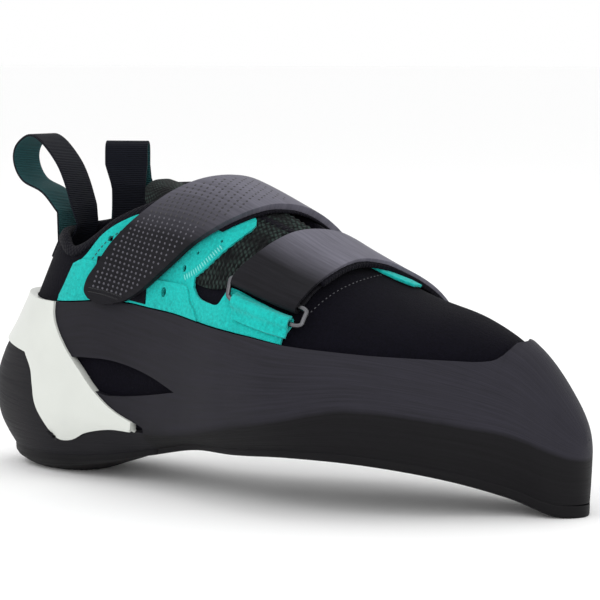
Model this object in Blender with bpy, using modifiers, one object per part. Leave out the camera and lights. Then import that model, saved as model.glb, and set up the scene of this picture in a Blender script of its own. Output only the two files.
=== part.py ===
"""Climbing shoe for the right foot: a hollow upper on a downturned last, a rubber rand, a heel band
and cup, two sole pieces, a tongue, an insole, two straps with a wire ring, and two pull loops.

The shoe stands on +Z. +Y points to the toe and +X to the outer (lateral) side. The origin is the
middle of the heel's flat spot, on the floor. All lengths below are in millimetres, and the meshes
are written in metres.
"""

import math
from collections import namedtuple
from functools import lru_cache

import bmesh
import bpy
from mathutils import Vector

MM = 0.001

# Driving dimensions
LENGTH = 252.0  # back of the heel to the tip of the toe
BALL_WIDTH = 90.0
HEEL_WIDTH = 62.0
INSTEP_HEIGHT = 112.0  # floor to the top of the instep
COLLAR_HEIGHT = 94.0  # floor to the back of the collar
HEEL_SETBACK = 28.0  # middle of the heel's flat spot to the back of the heel

UPPER_WALL = 1.8
RAND_THICKNESS = 2.2
SOLE_THICKNESS = 4.0
INSOLE_THICKNESS = 2.0
TONGUE_THICKNESS = 2.6
GAP = 0.3  # between pieces that touch

# Mesh fineness
STEPS = 32  # stations from heel to toe, on each side
LOW_ROWS = 2  # from the foot edge up to the widest line
RAND_ROWS = 3  # from the widest line up to the rand's top edge
TOP_ROWS = 4  # from there up to the opening or the ridge

WIDEST = 0.35  # the widest line's place on a section, where 0 is the foot edge and 1 the ridge

# One row for each section of the last, from the heel back (0) to the toe tip (1). Across, the
# values are hundredths of the heel's width up to the waist and of the ball's width from there on;
# up, they are hundredths of the instep's height.
Section = namedtuple(
    "Section",
    "along lat_x lat_z med_x med_z foot_lat_x foot_lat_z foot_med_x foot_med_z dish ridge_x ridge_z square belly",
)
SECTIONS = [
    Section(0.00, 0, 28, 0, 28, 0, 9.0, 0, 9.0, 0, 0, 110, 2.0, 1.0),
    Section(0.02, 19.5, 28, -18.5, 28, 15.5, 8.2, -14.5, 8.2, 3.0, 0, 110, 2.0, 1.0),
    Section(0.07, 32, 26, -31, 26, 26.5, 7.6, -24, 7.6, 5.6, 0, 110, 2.1, 1.0),
    Section(0.15, 41.5, 24, -40, 25, 34, 8.0, -30.5, 8.4, 6.4, 0, 109, 2.3, 0.9),
    Section(0.25, 45, 22, -42, 25, 35.5, 10.0, -32, 11.6, 3.0, 0, 106, 2.8, 0.8),
    Section(0.35, 46, 20, -38, 26, 35.5, 14.0, -29, 17.0, 0.5, 0, 102, 2.8, 0.6),
    Section(0.45, 37, 22, -28, 27.5, 29.5, 18.5, -21.5, 21.5, 0, 0, 100, 2.4, 0.4),
    Section(0.55, 45, 26.5, -37, 28.5, 38, 20.0, -29, 22.3, 0, -3, 90.5, 2.2, 0.2),
    Section(0.65, 48.5, 31.5, -45, 27.5, 40, 21.5, -36.5, 20.5, 0, -9, 77.5, 2.1, 0.15),
    Section(0.75, 39.5, 35.5, -48, 26, 31.5, 20.5, -40, 17.0, 0, -14, 67, 2.1, 0.15),
    Section(0.84, 22, 32.5, -46.5, 24, 15.5, 16.5, -39.5, 12.0, 0.3, -18, 60.5, 2.1, 0.2),
    Section(0.92, 1, 27.5, -40, 22, -4.5, 9.8, -34.5, 6.7, 1.6, -19.5, 50.5, 2.0, 0.3),
    Section(0.97, -7.5, 22.5, -34.5, 20.5, -10.5, 5.4, -31.5, 4.6, 2.0, -20.5, 37, 2.0, 0.4),
    Section(0.99, -12.5, 20, -29.5, 19.3, -14.5, 4.6, -27, 4.4, 1.2, -20.5, 30, 2.0, 0.4),
    Section(1.00, -20.5, 18.5, -20.5, 18.5, -20.5, 4.2, -20.5, 4.2, 0, -20.5, 23, 2.0, 0.4),
]

# The back of the heel leans forward as it rises. Heights are hundredths of the collar's height,
# and setbacks hundredths of it too.
Lean = namedtuple("Lean", "height setback")
HEEL_LEAN = [
    Lean(5, 10.6),
    Lean(10, 8.4),
    Lean(15, 5.2),
    Lean(21, 2.0),
    Lean(32, 0.0),
    Lean(38, 1.2),
    Lean(49, 6.6),
    Lean(58, 13.2),
    Lean(68, 19.6),
    Lean(75, 23.4),
    Lean(85, 28.6),
    Lean(94, 33.2),
    Lean(100, 37.0),
    Lean(117, 42.0),
]
LEAN_REACH = 0.42  # share of the length over which the lean fades

# Heights of the rand's top edge and of the opening's edge, as hundredths of the way from the
# widest line up to the ridge. 100 at the opening is a closed vamp.
Edge = namedtuple("Edge", "along rand_lat rand_med open_lat open_med")
EDGES = [
    Edge(0.00, 39.5, 39.5, 68, 68),
    Edge(0.08, 40.5, 40.5, 67, 72),
    Edge(0.15, 42, 42, 64, 82),
    Edge(0.20, 44, 44, 68, 88),
    Edge(0.28, 48, 47, 81.5, 93),
    Edge(0.34, 50, 48, 90, 96.5),
    Edge(0.39, 49, 48, 95, 97),
    Edge(0.49, 46, 46, 97, 97),
    Edge(0.56, 45.5, 45, 98, 98),
    Edge(0.60, 46, 45, 99, 99),
    Edge(0.62, 46, 45, 100, 100),
    Edge(0.65, 46, 45, 100, 100),
    Edge(0.75, 47.5, 47, 100, 100),
    Edge(0.816, 54, 54, 100, 100),
    Edge(0.855, 61, 63, 100, 100),
    Edge(0.884, 69, 76, 100, 100),
    Edge(0.90, 80, 89, 100, 100),
    Edge(0.908, 100, 100, 100, 100),
    Edge(1.00, 100, 100, 100, 100),
]
THROAT_END = 0.62
WINDOW_END = 0.908
SOLE_SPLIT = 0.372  # where the heel sole meets the outsole

# Outlines on the side of the shoe: how far along its length from the back of the heel, and how
# high, in hundredths of the length and of the instep's height.
Spot = namedtuple("Spot", "along up")
BAND_FRONT = [
    Spot(19.5, 63),
    Spot(19.6, 54.3),
    Spot(22.0, 45.4),
    Spot(25.1, 38.0),
    Spot(28.5, 30.2),
    Spot(32.2, 24.8),
    Spot(37.4, 20.9),
]
BAND_FOOT = [
    Spot(37.4, 20.3),
    Spot(35.0, 19.9),
    Spot(30.6, 19.6),
    Spot(26.1, 17.7),
    Spot(22.9, 14.8),
    Spot(20.6, 14.1),
    Spot(19.4, 15.0),
    Spot(17.4, 19.3),
    Spot(15.7, 24.6),
    Spot(15.1, 31.1),
    Spot(14.6, 36.3),
    Spot(13.0, 41.3),
    Spot(8.0, 43.6),
    Spot(-6.0, 44.0),
]
LENS = [
    Spot(21.0, 41.5),
    Spot(26.1, 42.3),
    Spot(30.4, 42.2),
    Spot(34.8, 40.7),
    Spot(39.7, 38.0),
    Spot(44.5, 34.3),
    Spot(36.4, 31.3),
    Spot(30.4, 30.2),
    Spot(27.0, 31.4),
]
QUARTER_TOP = [
    Spot(19.2, 60.8),
    Spot(20.0, 63.8),
    Spot(21.3, 68.3),
    Spot(22.7, 72.3),
    Spot(24.9, 76.3),
    Spot(27.4, 82.5),
    Spot(29.2, 85.6),
    Spot(31.1, 87.9),
    Spot(34.0, 90.3),
]
QUARTER_FRONT = [
    Spot(45.0, 91.5),
    Spot(51.8, 89.8),
    Spot(53.3, 87.5),
    Spot(51.7, 82.0),
    Spot(48.4, 74.4),
    Spot(46.7, 71.3),
    Spot(46.9, 67.3),
    Spot(49.7, 64.2),
    Spot(52.1, 63.4),
    Spot(52.6, 65.6),
    Spot(53.4, 69.1),
    Spot(58.8, 65.5),
    Spot(64.9, 60.5),
    Spot(65.2, 59.7),
    Spot(64.1, 54.3),
    Spot(64.0, 48.0),
]
QUARTER_INNER_FRONT = [
    Spot(50.0, 96),
    Spot(60.0, 115),
    Spot(71.0, 90),
    Spot(74.5, 76),
    Spot(73.0, 64),
    Spot(69.0, 52),
    Spot(67.0, 40),
]


# The last

RUBBER = RAND_THICKNESS + GAP
LAST_START = RUBBER - HEEL_SETBACK
LAST_LENGTH = LENGTH - 2 * RUBBER
WAIST = 0.40  # share of the length where the widths change from the heel's to the ball's


def spline(rows, key, column, at):
    """The value of a table's column at one key, on a smooth curve through the rows."""
    keys = [key(row) for row in rows]
    values = [column(row) for row in rows]
    if at <= keys[0]:
        return values[0]
    if at >= keys[-1]:
        return values[-1]
    i = max(j for j in range(len(keys) - 1) if keys[j] <= at)

    def slope(j):
        low, high = max(j - 1, 0), min(j + 1, len(keys) - 1)
        return (values[high] - values[low]) / (keys[high] - keys[low])

    span = keys[i + 1] - keys[i]
    t = (at - keys[i]) / span
    return (
        (2 * t**3 - 3 * t**2 + 1) * values[i]
        + (t**3 - 2 * t**2 + t) * span * slope(i)
        + (3 * t**2 - 2 * t**3) * values[i + 1]
        + (t**3 - t**2) * span * slope(i + 1)
    )


def turn(along):
    """The angle of a share of the length, so that the ends of an outline come out round."""
    return math.acos(1 - 2 * along)


def across(row, share):
    """A width share of a section row, in millimetres."""
    return share / 100 * (HEEL_WIDTH if row.along < WAIST else BALL_WIDTH)


@lru_cache(maxsize=None)
def section(angle, side):
    """The sizes of one side of the section at an angle, in millimetres. The side is lat or med."""

    def value(name, scale):
        def column(row):
            return across(row, getattr(row, name)) if scale is None else getattr(row, name) * scale

        return spline(SECTIONS, lambda row: turn(row.along), column, angle)

    up = INSTEP_HEIGHT / 100
    return {
        "wide": (value(side + "_x", None), value(side + "_z", up)),
        "foot": (value("foot_" + side + "_x", None), value("foot_" + side + "_z", up)),
        "ridge": (value("ridge_x", None), value("ridge_z", up)),
        "square": value("square", 1),
        "belly": value("belly", 1),
        "dish": value("dish", up),
    }


def edge_share(angle, name):
    return spline(EDGES, lambda row: turn(row.along), lambda row: getattr(row, name), angle) / 100


def lean(z):
    up = COLLAR_HEIGHT / 100
    return spline(HEEL_LEAN, lambda row: row.height * up, lambda row: row.setback * up, z)


def on_section(sizes, angle, place):
    """A point of the last's surface, where place is 0 at the foot edge and 1 at the ridge."""
    foot, wide, ridge = sizes["foot"], sizes["wide"], sizes["ridge"]
    if place <= WIDEST:
        t = place / WIDEST
        straight = ((foot[0] + wide[0]) / 2, (foot[1] + wide[1]) / 2)
        full = (wide[0], foot[1] + 0.35 * (wide[1] - foot[1]))
        bend = [straight[k] + sizes["belly"] * (full[k] - straight[k]) for k in (0, 1)]
        x, z = ((1 - t) ** 2 * foot[k] + 2 * t * (1 - t) * bend[k] + t**2 * wide[k] for k in (0, 1))
    else:
        swing = (place - WIDEST) / (1 - WIDEST) * math.pi / 2
        power = 2 / sizes["square"]
        x = ridge[0] + (wide[0] - ridge[0]) * max(math.cos(swing), 0) ** power
        z = wide[1] + (ridge[1] - wide[1]) * math.sin(swing) ** power
    along = (1 - math.cos(angle)) / 2
    fade = max(0, 1 - along / LEAN_REACH) ** 2
    return Vector((x, LAST_START + LAST_LENGTH * along + lean(z) * fade, z))


def last_point(ring, place):
    """A point of the last's surface. The ring runs from 0 at the heel along the outer side to 1 at
    the toe, and back along the inner side to 2."""
    ring = ring % 2
    side = "lat" if ring <= 1 else "med"
    angle = math.pi * (ring if ring <= 1 else 2 - ring)
    return on_section(section(angle, side), angle, place)


def one_normal(ring, place, step=0.004):
    low, high = max(place - step, 0), min(place + step, 1)
    around = last_point(ring + step, place) - last_point(ring - step, place)
    up = last_point(ring, high) - last_point(ring, low)
    return around.cross(up).normalized()


def last_normal(ring, place):
    if place < 1:
        return one_normal(ring, place)
    return (one_normal(ring, 1) + one_normal(2 - ring, 1)).normalized()


def place_at(ring, share):
    """The place on the section whose height is a share of the way from the widest line up."""
    ring = ring % 2
    angle = math.pi * (ring if ring <= 1 else 2 - ring)
    square = section(angle, "lat")["square"]
    rise = math.asin(min(max(share, 0), 1) ** (square / 2))
    return WIDEST + (1 - WIDEST) * rise / (math.pi / 2)


def edge_place(ring, edge):
    """The place of the rand's edge or of the opening's edge at a point of the ring."""
    ring = ring % 2
    angle = math.pi * (ring if ring <= 1 else 2 - ring)
    share = edge_share(angle, edge + ("_lat" if ring <= 1 else "_med"))
    return 1 if share > 0.9995 else place_at(ring, share)


def raised(ring, place, height):
    return last_point(ring, place) + last_normal(ring, place) * height


# Meshes

PARTS = bpy.data.collections.new("climbing_shoe")
CUTTERS = bpy.data.collections.new("climbing_shoe_cutters")


def clear_scene():
    for old in list(bpy.data.objects):
        bpy.data.objects.remove(old, do_unlink=True)
    for group in (PARTS, CUTTERS):
        bpy.context.scene.collection.children.link(group)


def finish(name, colour, roughness, metallic=0.0):
    material = bpy.data.materials.new(name)
    material.use_nodes = True
    shader = material.node_tree.nodes["Principled BSDF"]
    shader.inputs["Base Color"].default_value = (*colour, 1)
    shader.inputs["Roughness"].default_value = roughness
    shader.inputs["Metallic"].default_value = metallic
    return material


def add_object(name, mesh, material=None, group=PARTS):
    thing = bpy.data.objects.new(name, mesh)
    group.objects.link(thing)
    if material:
        mesh.materials.append(material)
    return thing


def mesh_from(name, points, faces):
    """A closed mesh from points in millimetres: doubles are merged and faces turned outwards."""
    made = bmesh.new()
    corners = [made.verts.new(Vector(point) * MM) for point in points]
    for face in faces:
        if len(set(face)) > 2:
            made.faces.new([corners[i] for i in face])
    bmesh.ops.remove_doubles(made, verts=made.verts, dist=0.00001)
    bmesh.ops.dissolve_degenerate(made, dist=0.000005, edges=made.edges)
    bmesh.ops.triangulate(made, faces=[face for face in made.faces if len(face.verts) > 3])
    bmesh.ops.recalc_face_normals(made, faces=made.faces)
    mesh = bpy.data.meshes.new(name)
    made.to_mesh(mesh)
    made.free()
    mesh.shade_smooth()
    return mesh


def wrap(name, rings, rows_of, inner, outer, joined=lambda ring: False, foot=True):
    """A wall round the last between two heights above its surface. rows_of gives the places on each
    ring column. Where joined is true at both ends of a strip, the top edge is closed by its twin on
    the other side, so it gets no rim. With foot, the lowest row keeps the height of the foot edge."""
    points = []
    heights = []
    for ring in rings:
        places = rows_of(ring)
        heights.append(len(places))
        for height in (outer, inner):
            for row, place in enumerate(places):
                point = raised(ring, place, height)
                if foot and row == 0:
                    point.z = last_point(ring, place).z
                points.append(point)
    rows = heights[0]
    stride = 2 * rows
    closed = abs(rings[-1] - rings[0] - 2) < 2.5 / STEPS
    faces = []
    count = len(rings)
    for i in range(count if closed else count - 1):
        a, b = i * stride, (i + 1) % count * stride
        for row in range(rows - 1):
            faces.append((a + row, b + row, b + row + 1, a + row + 1))
            faces.append((a + rows + row, a + rows + row + 1, b + rows + row + 1, b + rows + row))
        faces.append((a, a + rows, b + rows, b))
        top = rows - 1
        if not (joined(rings[i]) and joined(rings[(i + 1) % count])):
            faces.append((a + top, b + top, b + rows + top, a + rows + top))
    if not closed:
        for a in (0, (count - 1) * stride):
            for row in range(rows - 1):
                faces.append((a + row, a + row + 1, a + rows + row + 1, a + rows + row))
    return mesh_from(name, points, faces)


def shares(count):
    return [i / count for i in range(count + 1)]


def rand_rows(ring, first=0.0):
    """Places from the foot edge over the widest line to the rand's top edge."""
    top = edge_place(ring, "rand")
    low = [first + (WIDEST - first) * t for t in shares(LOW_ROWS)]
    return low + [WIDEST + (top - WIDEST) * t for t in shares(RAND_ROWS)[1:]]


def upper_rows(ring):
    start, stop = edge_place(ring, "rand"), edge_place(ring, "open")
    stop = max(stop, start)
    return rand_rows(ring) + [start + (stop - start) * t for t in shares(TOP_ROWS)[1:]]


def ring_columns(extra=()):
    """Even columns round the last, with extra ones on both sides at the shares of the length given."""
    even = [i / STEPS for i in range(2 * STEPS)]
    more = [turn(along) / math.pi for along in extra]
    return sorted(even + more + [2 - ring for ring in more])


RINGS = ring_columns((0.0006, 0.605, THROAT_END, 0.893, 0.90, 0.904, WINDOW_END))


def make_upper(material):
    mesh = wrap(
        "upper",
        RINGS,
        upper_rows,
        -UPPER_WALL,
        0,
        joined=lambda ring: edge_place(ring, "open") == 1,
    )
    return add_object("upper", mesh, material)


def side_cutter(name, outline, inner, outer, along_shift=0.0, up_shift=0.0):
    """A prism across the shoe from an outline on its side, between two distances across."""
    made = bmesh.new()
    corners = [
        made.verts.new(
            (
                inner * MM,
                (spot.along / 100 * LENGTH - HEEL_SETBACK + along_shift) * MM,
                (spot.up / 100 * INSTEP_HEIGHT + up_shift) * MM,
            )
        )
        for spot in outline
    ]
    face = made.faces.new(corners)
    grown = bmesh.ops.extrude_face_region(made, geom=[face])
    moved = [item for item in grown["geom"] if isinstance(item, bmesh.types.BMVert)]
    bmesh.ops.translate(made, vec=((outer - inner) * MM, 0, 0), verts=moved)
    bmesh.ops.recalc_face_normals(made, faces=made.faces)
    mesh = bpy.data.meshes.new(name)
    made.to_mesh(mesh)
    made.free()
    thing = add_object(name, mesh, group=CUTTERS)
    thing.hide_render = True
    thing.display_type = "WIRE"
    return thing


def cut(thing, cutter, operation="DIFFERENCE"):
    step = thing.modifiers.new(cutter.name, "BOOLEAN")
    step.operation = operation
    step.object = cutter


def rounded(spots, steps=2):
    """More spots on a smooth curve through the ones given."""
    keys = [0.0]
    for a, b in zip(spots, spots[1:]):
        keys.append(keys[-1] + math.hypot(b.along - a.along, b.up - a.up))
    rows = list(zip(keys, spots))
    fine = []
    for low, high in zip(keys, keys[1:]):
        for i in range(steps):
            at = low + (high - low) * i / steps
            fine.append(
                Spot(
                    spline(rows, lambda row: row[0], lambda row: row[1].along, at),
                    spline(rows, lambda row: row[0], lambda row: row[1].up, at),
                )
            )
    return fine + [spots[-1]]


def coat(name, inner, outer, rows_of, columns=RINGS, foot=False):
    return wrap(name, columns, rows_of, inner, outer, foot=foot)


WIDE = 1.2 * BALL_WIDTH  # past both sides of the shoe


def make_rand(material):
    mesh = wrap(
        "rand",
        RINGS,
        rand_rows,
        GAP,
        RUBBER,
        joined=lambda ring: edge_place(ring, "rand") == 1,
    )
    rand = add_object("rand", mesh, material)
    behind = rounded(BAND_FRONT) + [
        Spot(37.4, -20),
        Spot(-20, -20),
        Spot(-20, 90),
        Spot(19.5, 90),
    ]
    cut(rand, side_cutter("behind_rand", behind, -WIDE, WIDE, along_shift=GAP))
    cut(rand, side_cutter("rand_lens", rounded(LENS + LENS[:1]), 0, WIDE))
    return rand


BAND_THICKNESS = 3.2
CUP_THICKNESS = RAND_THICKNESS


def make_heel_band(material):
    band = add_object("heel_band", coat("heel_band", GAP, GAP + BAND_THICKNESS, rand_rows), material)
    outline = rounded(BAND_FRONT) + rounded(BAND_FOOT) + [Spot(-20, 44), Spot(-20, 90), Spot(19.5, 90)]
    cut(band, side_cutter("band_outline", outline, -WIDE, WIDE), "INTERSECT")
    return band


def make_heel_cup(material):
    cup = add_object("heel_cup", coat("heel_cup", GAP, GAP + CUP_THICKNESS, rand_rows, foot=True), material)
    outline = rounded(BAND_FOOT) + [Spot(-20, 44), Spot(-20, -20), Spot(37.4, -20)]
    cut(cup, side_cutter("cup_outline", outline, -WIDE, WIDE, up_shift=-GAP), "INTERSECT")
    return cup


SOLE_ACROSS = (-1, -0.82, -0.6, -0.3, 0, 0.3, 0.6, 0.82, 1)
SOLE_SEAT = 0.4  # under the foot edge
SOLE_TAPER = 0.95  # the sole's lower outline against its upper one


def sole_rim(angle, side):
    """The sole's upper outline at an angle, which is the rubber's lower edge less the gap."""
    ring = angle / math.pi if side == "lat" else 2 - angle / math.pi
    point = raised(ring, 0, RUBBER)
    point.z = last_point(ring, 0).z - SOLE_SEAT
    return point


def sole_top(angle, share):
    """A point of the sole's upper face, where share runs from -1 inside to 1 outside."""
    point = sole_rim(angle, "med").lerp(sole_rim(angle, "lat"), (share + 1) / 2)
    point.z -= section(angle, "lat")["dish"] * (1 - share**2)
    return point


def sole_bottom(angle, share):
    middle = sole_top(angle, 0)
    edge = sole_top(angle, share)
    reach = SOLE_TAPER if abs(share) == 1 else 1
    point = middle.lerp(edge, reach)
    point.z = max(edge.z - SOLE_THICKNESS, 0)
    return point


def make_sole(name, first, last, material):
    """One piece of the sole between two shares of the length."""
    start, stop = turn(first), turn(last)
    inside = [math.pi * i / STEPS for i in range(STEPS + 1)]
    angles = [start] + [angle for angle in inside if start + 0.02 < angle < stop - 0.02] + [stop]
    points, faces = [], []
    count = len(SOLE_ACROSS)
    for angle in angles:
        points += [sole_top(angle, share) for share in SOLE_ACROSS]
        points += [sole_bottom(angle, share) for share in SOLE_ACROSS]
    for i in range(len(angles) - 1):
        a, b = i * 2 * count, (i + 1) * 2 * count
        for k in range(count - 1):
            faces.append((a + k, a + k + 1, b + k + 1, b + k))
            faces.append((a + count + k, b + count + k, b + count + k + 1, a + count + k + 1))
        faces.append((a, b, b + count, a + count))
        faces.append((a + count - 1, a + 2 * count - 1, b + 2 * count - 1, b + count - 1))
    for a in (0, (len(angles) - 1) * 2 * count):
        for k in range(count - 1):
            faces.append((a + k, a + k + 1, a + count + k + 1, a + count + k))
    return add_object(name, mesh_from(name, points, faces), material)


def sheet(name, grid, thickness, material, side=0):
    """An open grid of points made a wall with Solidify. side is -1, 0 or 1: below, about or above
    the grid."""
    columns = len(grid[0])
    points = [point for row in grid for point in row]
    made = bmesh.new()
    corners = [made.verts.new(Vector(point) * MM) for point in points]
    for i in range(len(grid) - 1):
        for k in range(columns - 1):
            a = i * columns + k
            b = a + columns
            made.faces.new([corners[n] for n in (a, a + 1, b + 1, b)])
    mesh = bpy.data.meshes.new(name)
    made.to_mesh(mesh)
    made.free()
    mesh.shade_smooth()
    thing = add_object(name, mesh, material)
    wall = thing.modifiers.new("wall", "SOLIDIFY")
    wall.thickness = thickness * MM
    wall.offset = side
    wall.use_even_offset = True
    wall.use_quality_normals = True
    return thing


INSOLE_INSET = RUBBER + UPPER_WALL + 2.2  # from the sole's outline


def make_insole(material):
    grid = []
    for i in range(5, STEPS - 5):
        angle = math.pi * i / STEPS
        half = (sole_rim(angle, "lat") - sole_rim(angle, "med")).length / 2
        reach = 1 - INSOLE_INSET / half
        row = []
        for t in (-1, -0.5, 0, 0.5, 1):
            point = sole_top(angle, t * reach)
            point.z += GAP
            row.append(point)
        grid.append(row)
    return sheet("insole", grid, INSOLE_THICKNESS, material, side=1)


def over(side, along, swing, height):
    """A point over the last, where swing is 0 on the widest line and 1 on the ridge."""
    ring = turn(along) / math.pi
    return raised(ring if side == "lat" else 2 - ring, WIDEST + (1 - WIDEST) * swing, height)


# The tongue, from its top at the collar to its end under the vamp: its edges' swing on each side.
Lap = namedtuple("Lap", "along lat med")
TONGUE = [
    Lap(0.30, 0.80, 0.80),
    Lap(0.315, 0.68, 0.68),
    Lap(0.36, 0.62, 0.62),
    Lap(0.42, 0.62, 0.62),
    Lap(0.50, 0.64, 0.64),
    Lap(0.58, 0.68, 0.68),
    Lap(0.64, 0.76, 0.76),
    Lap(0.66, 0.84, 0.84),
]
TONGUE_DEPTH = UPPER_WALL + GAP + 0.7


def make_tongue(material):
    grid = []
    for i in range(15):
        along = TONGUE[0].along + (TONGUE[-1].along - TONGUE[0].along) * i / 14
        lat = spline(TONGUE, lambda row: row.along, lambda row: row.lat, along)
        med = spline(TONGUE, lambda row: row.along, lambda row: row.med, along)
        row = [over("med", along, med + (1 - med) * t, -TONGUE_DEPTH) for t in shares(4)]
        row += [over("lat", along, 1 - (1 - lat) * t, -TONGUE_DEPTH) for t in shares(4)[1:]]
        grid.append(row)
    return sheet("tongue", grid, TONGUE_THICKNESS, material, side=-1)


# A strap's sections from its outer end over the ridge to its inner end: the places of its rear and
# front edges along the shoe, and the height of its middle over the last.
Strap = namedtuple("Strap", "side swing rear front height")
STRAP_TOP = [
    Strap("lat", 0.226, 0.268, 0.292, 4.3),
    Strap("lat", 0.235, 0.252, 0.312, 4.3),
    Strap("lat", 0.255, 0.243, 0.336, 4.3),
    Strap("lat", 0.29, 0.248, 0.364, 4.3),
    Strap("lat", 0.34, 0.266, 0.392, 4.3),
    Strap("lat", 0.42, 0.289, 0.427, 4.2),
    Strap("lat", 0.50, 0.315, 0.454, 4.1),
    Strap("lat", 0.60, 0.349, 0.485, 4.0),
    Strap("lat", 0.70, 0.381, 0.508, 3.9),
    Strap("lat", 0.80, 0.412, 0.524, 3.8),
    Strap("lat", 0.90, 0.438, 0.535, 3.6),
    Strap("lat", 1.00, 0.455, 0.547, 3.4),
    Strap("med", 0.90, 0.470, 0.560, 3.4),
    Strap("med", 0.80, 0.482, 0.572, 3.4),
    Strap("med", 0.65, 0.500, 0.590, 3.4),
    Strap("med", 0.50, 0.515, 0.604, 3.4),
    Strap("med", 0.40, 0.525, 0.612, 3.4),
]
STRAP_TOP_THICKNESS = 2.4
STRAP_LOWER = [
    Strap("lat", 0.66, 0.582, 0.664, 2.5),
    Strap("lat", 0.58, 0.568, 0.661, 2.5),
    Strap("lat", 0.51, 0.557, 0.659, 2.5),
    Strap("lat", 0.472, 0.552, 0.657, 2.6),
    Strap("lat", 0.455, 0.550, 0.656, 3.0),
    Strap("lat", 0.447, 0.549, 0.655, 4.4),
    Strap("lat", 0.455, 0.550, 0.656, 5.8),
    Strap("lat", 0.472, 0.552, 0.657, 6.3),
    Strap("lat", 0.51, 0.557, 0.659, 6.4),
    Strap("lat", 0.60, 0.570, 0.663, 6.2),
    Strap("lat", 0.70, 0.580, 0.667, 5.8),
    Strap("lat", 0.80, 0.589, 0.670, 5.4),
    Strap("lat", 0.90, 0.600, 0.675, 4.9),
    Strap("lat", 1.00, 0.612, 0.690, 4.3),
    Strap("med", 0.90, 0.630, 0.715, 3.6),
    Strap("med", 0.80, 0.645, 0.730, 3.1),
    Strap("med", 0.65, 0.660, 0.742, 2.8),
    Strap("med", 0.50, 0.670, 0.750, 2.6),
]
STRAP_LOWER_THICKNESS = 1.4


def make_strap(name, rows, thickness, material, across=4):
    grid = [
        [over(row.side, row.rear + (row.front - row.rear) * t, row.swing, row.height) for t in shares(across)]
        for row in rows
    ]
    return sheet(name, grid, thickness, material)


def quarter_rows(ring):
    """Places from just above the rand to just under the opening's edge."""
    start = place_at_height(ring, "rand", 0.5)
    stop = place_at_height(ring, "open", -COLLAR_RIM)
    stop = max(stop, start + 0.01)
    return [start + (stop - start) * t for t in shares(TOP_ROWS + 2)]


def place_at_height(ring, edge, rise):
    """The place that lies a few millimetres above or below an edge."""
    place = edge_place(ring, edge)
    point = last_point(ring, place)
    step = 0.02
    slope = (last_point(ring, min(place + step, 1)) - point).length or 1
    return min(place + rise * step / slope, 1)


COLLAR_RIM = 3.0
QUARTER_THICKNESS = 1.2
QUARTER_GAP = 0.45  # its facets and the upper's differ


def make_quarter(name, sign, front, material):
    first, last = turn(0.09) / math.pi, turn(0.76) / math.pi
    rings = [ring for ring in RINGS if first < (ring if sign > 0 else 2 - ring) < last]
    mesh = coat(name, QUARTER_GAP, QUARTER_GAP + QUARTER_THICKNESS, quarter_rows, rings)
    quarter = add_object(name, mesh, material)
    outline = front + [Spot(19.2, 40)]
    cut(quarter, side_cutter(name + "_outline", outline, sign * 60, -sign * 60), "INTERSECT")
    return quarter


# The patch of loops under the end of the top strap
PATCH_THICKNESS = 0.8
PATCH_HEIGHT = QUARTER_GAP + QUARTER_THICKNESS + GAP + PATCH_THICKNESS / 2
PATCH_START, PATCH_STOP = 0.252, 0.385  # along the shoe
PATCH_RISE = 0.16  # up from the rand, as a share of the way to the ridge


def make_patch(material):
    grid = []
    for t in shares(6):
        along = PATCH_START + (PATCH_STOP - PATCH_START) * t
        edge = (edge_place(turn(along) / math.pi, "rand") - WIDEST) / (1 - WIDEST)
        grid.append([over("lat", along, edge + 0.01 + PATCH_RISE * k, PATCH_HEIGHT) for k in shares(3)])
    return sheet("strap_patch", grid, PATCH_THICKNESS, material)


# The wire ring that the lower strap is folded through, and the tab that holds it
RING_WIRE = 1.8
RING_BARS = (0.472, 0.390)  # swing of the strap's bar and of the tab's bar
RING_ENDS = (0.543, 0.669)  # along the shoe
RING_HEIGHTS = (4.4, 2.9)  # of the two bars over the last
TAB_THICKNESS = 1.2
TAB_ENDS = (0.556, 0.652)
Fold = namedtuple("Fold", "swing height")
TAB = [
    Fold(0.325, 2.45),
    Fold(0.352, 2.50),
    Fold(0.366, 3.3),
    Fold(0.375, 4.4),
    Fold(0.390, 4.9),
    Fold(0.405, 4.4),
    Fold(0.414, 3.3),
    Fold(0.422, 2.7),
]


def make_ring(material):
    """A rounded rectangle of wire that lies over the side of the last."""
    corner = 0.2  # share of each side taken by its rounded corner
    flat = []
    for i in range(4):
        for k in range(4):
            bend = math.pi / 2 * (i + k / 3)
            centre = ((1, 1), (-1, 1), (-1, -1), (1, -1))[i]
            flat.append(
                (
                    centre[0] * (1 - corner) + corner * math.cos(bend),
                    centre[1] * (1 - 2 * corner) + 2 * corner * math.sin(bend),
                )
            )
    curve = bpy.data.curves.new("ring", "CURVE")
    curve.dimensions = "3D"
    curve.bevel_depth = RING_WIRE / 2 * MM
    curve.bevel_resolution = 2
    line = curve.splines.new("POLY")
    points = []
    for i, (a, b) in enumerate(flat):
        points.append((a, b))
        after = flat[(i + 1) % len(flat)]
        if math.hypot(after[0] - a, after[1] - b) > 0.5:
            points += [(a + (after[0] - a) * t, b + (after[1] - b) * t) for t in (0.25, 0.5, 0.75)]
    line.points.add(len(points) - 1)
    for spot, (a, b) in zip(line.points, points):
        along = RING_ENDS[0] + (RING_ENDS[1] - RING_ENDS[0]) * (a + 1) / 2
        swing = RING_BARS[1] + (RING_BARS[0] - RING_BARS[1]) * (b + 1) / 2
        height = RING_HEIGHTS[1] + (RING_HEIGHTS[0] - RING_HEIGHTS[1]) * (b + 1) / 2
        spot.co = (*(over("lat", along, swing, height) * MM), 1)
    line.use_cyclic_u = True
    return add_object("ring", curve, material)


def make_tab(material):
    rows = [Strap("lat", fold.swing, *TAB_ENDS, fold.height) for fold in TAB]
    return make_strap("ring_tab", rows, TAB_THICKNESS, material, across=3)


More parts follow.
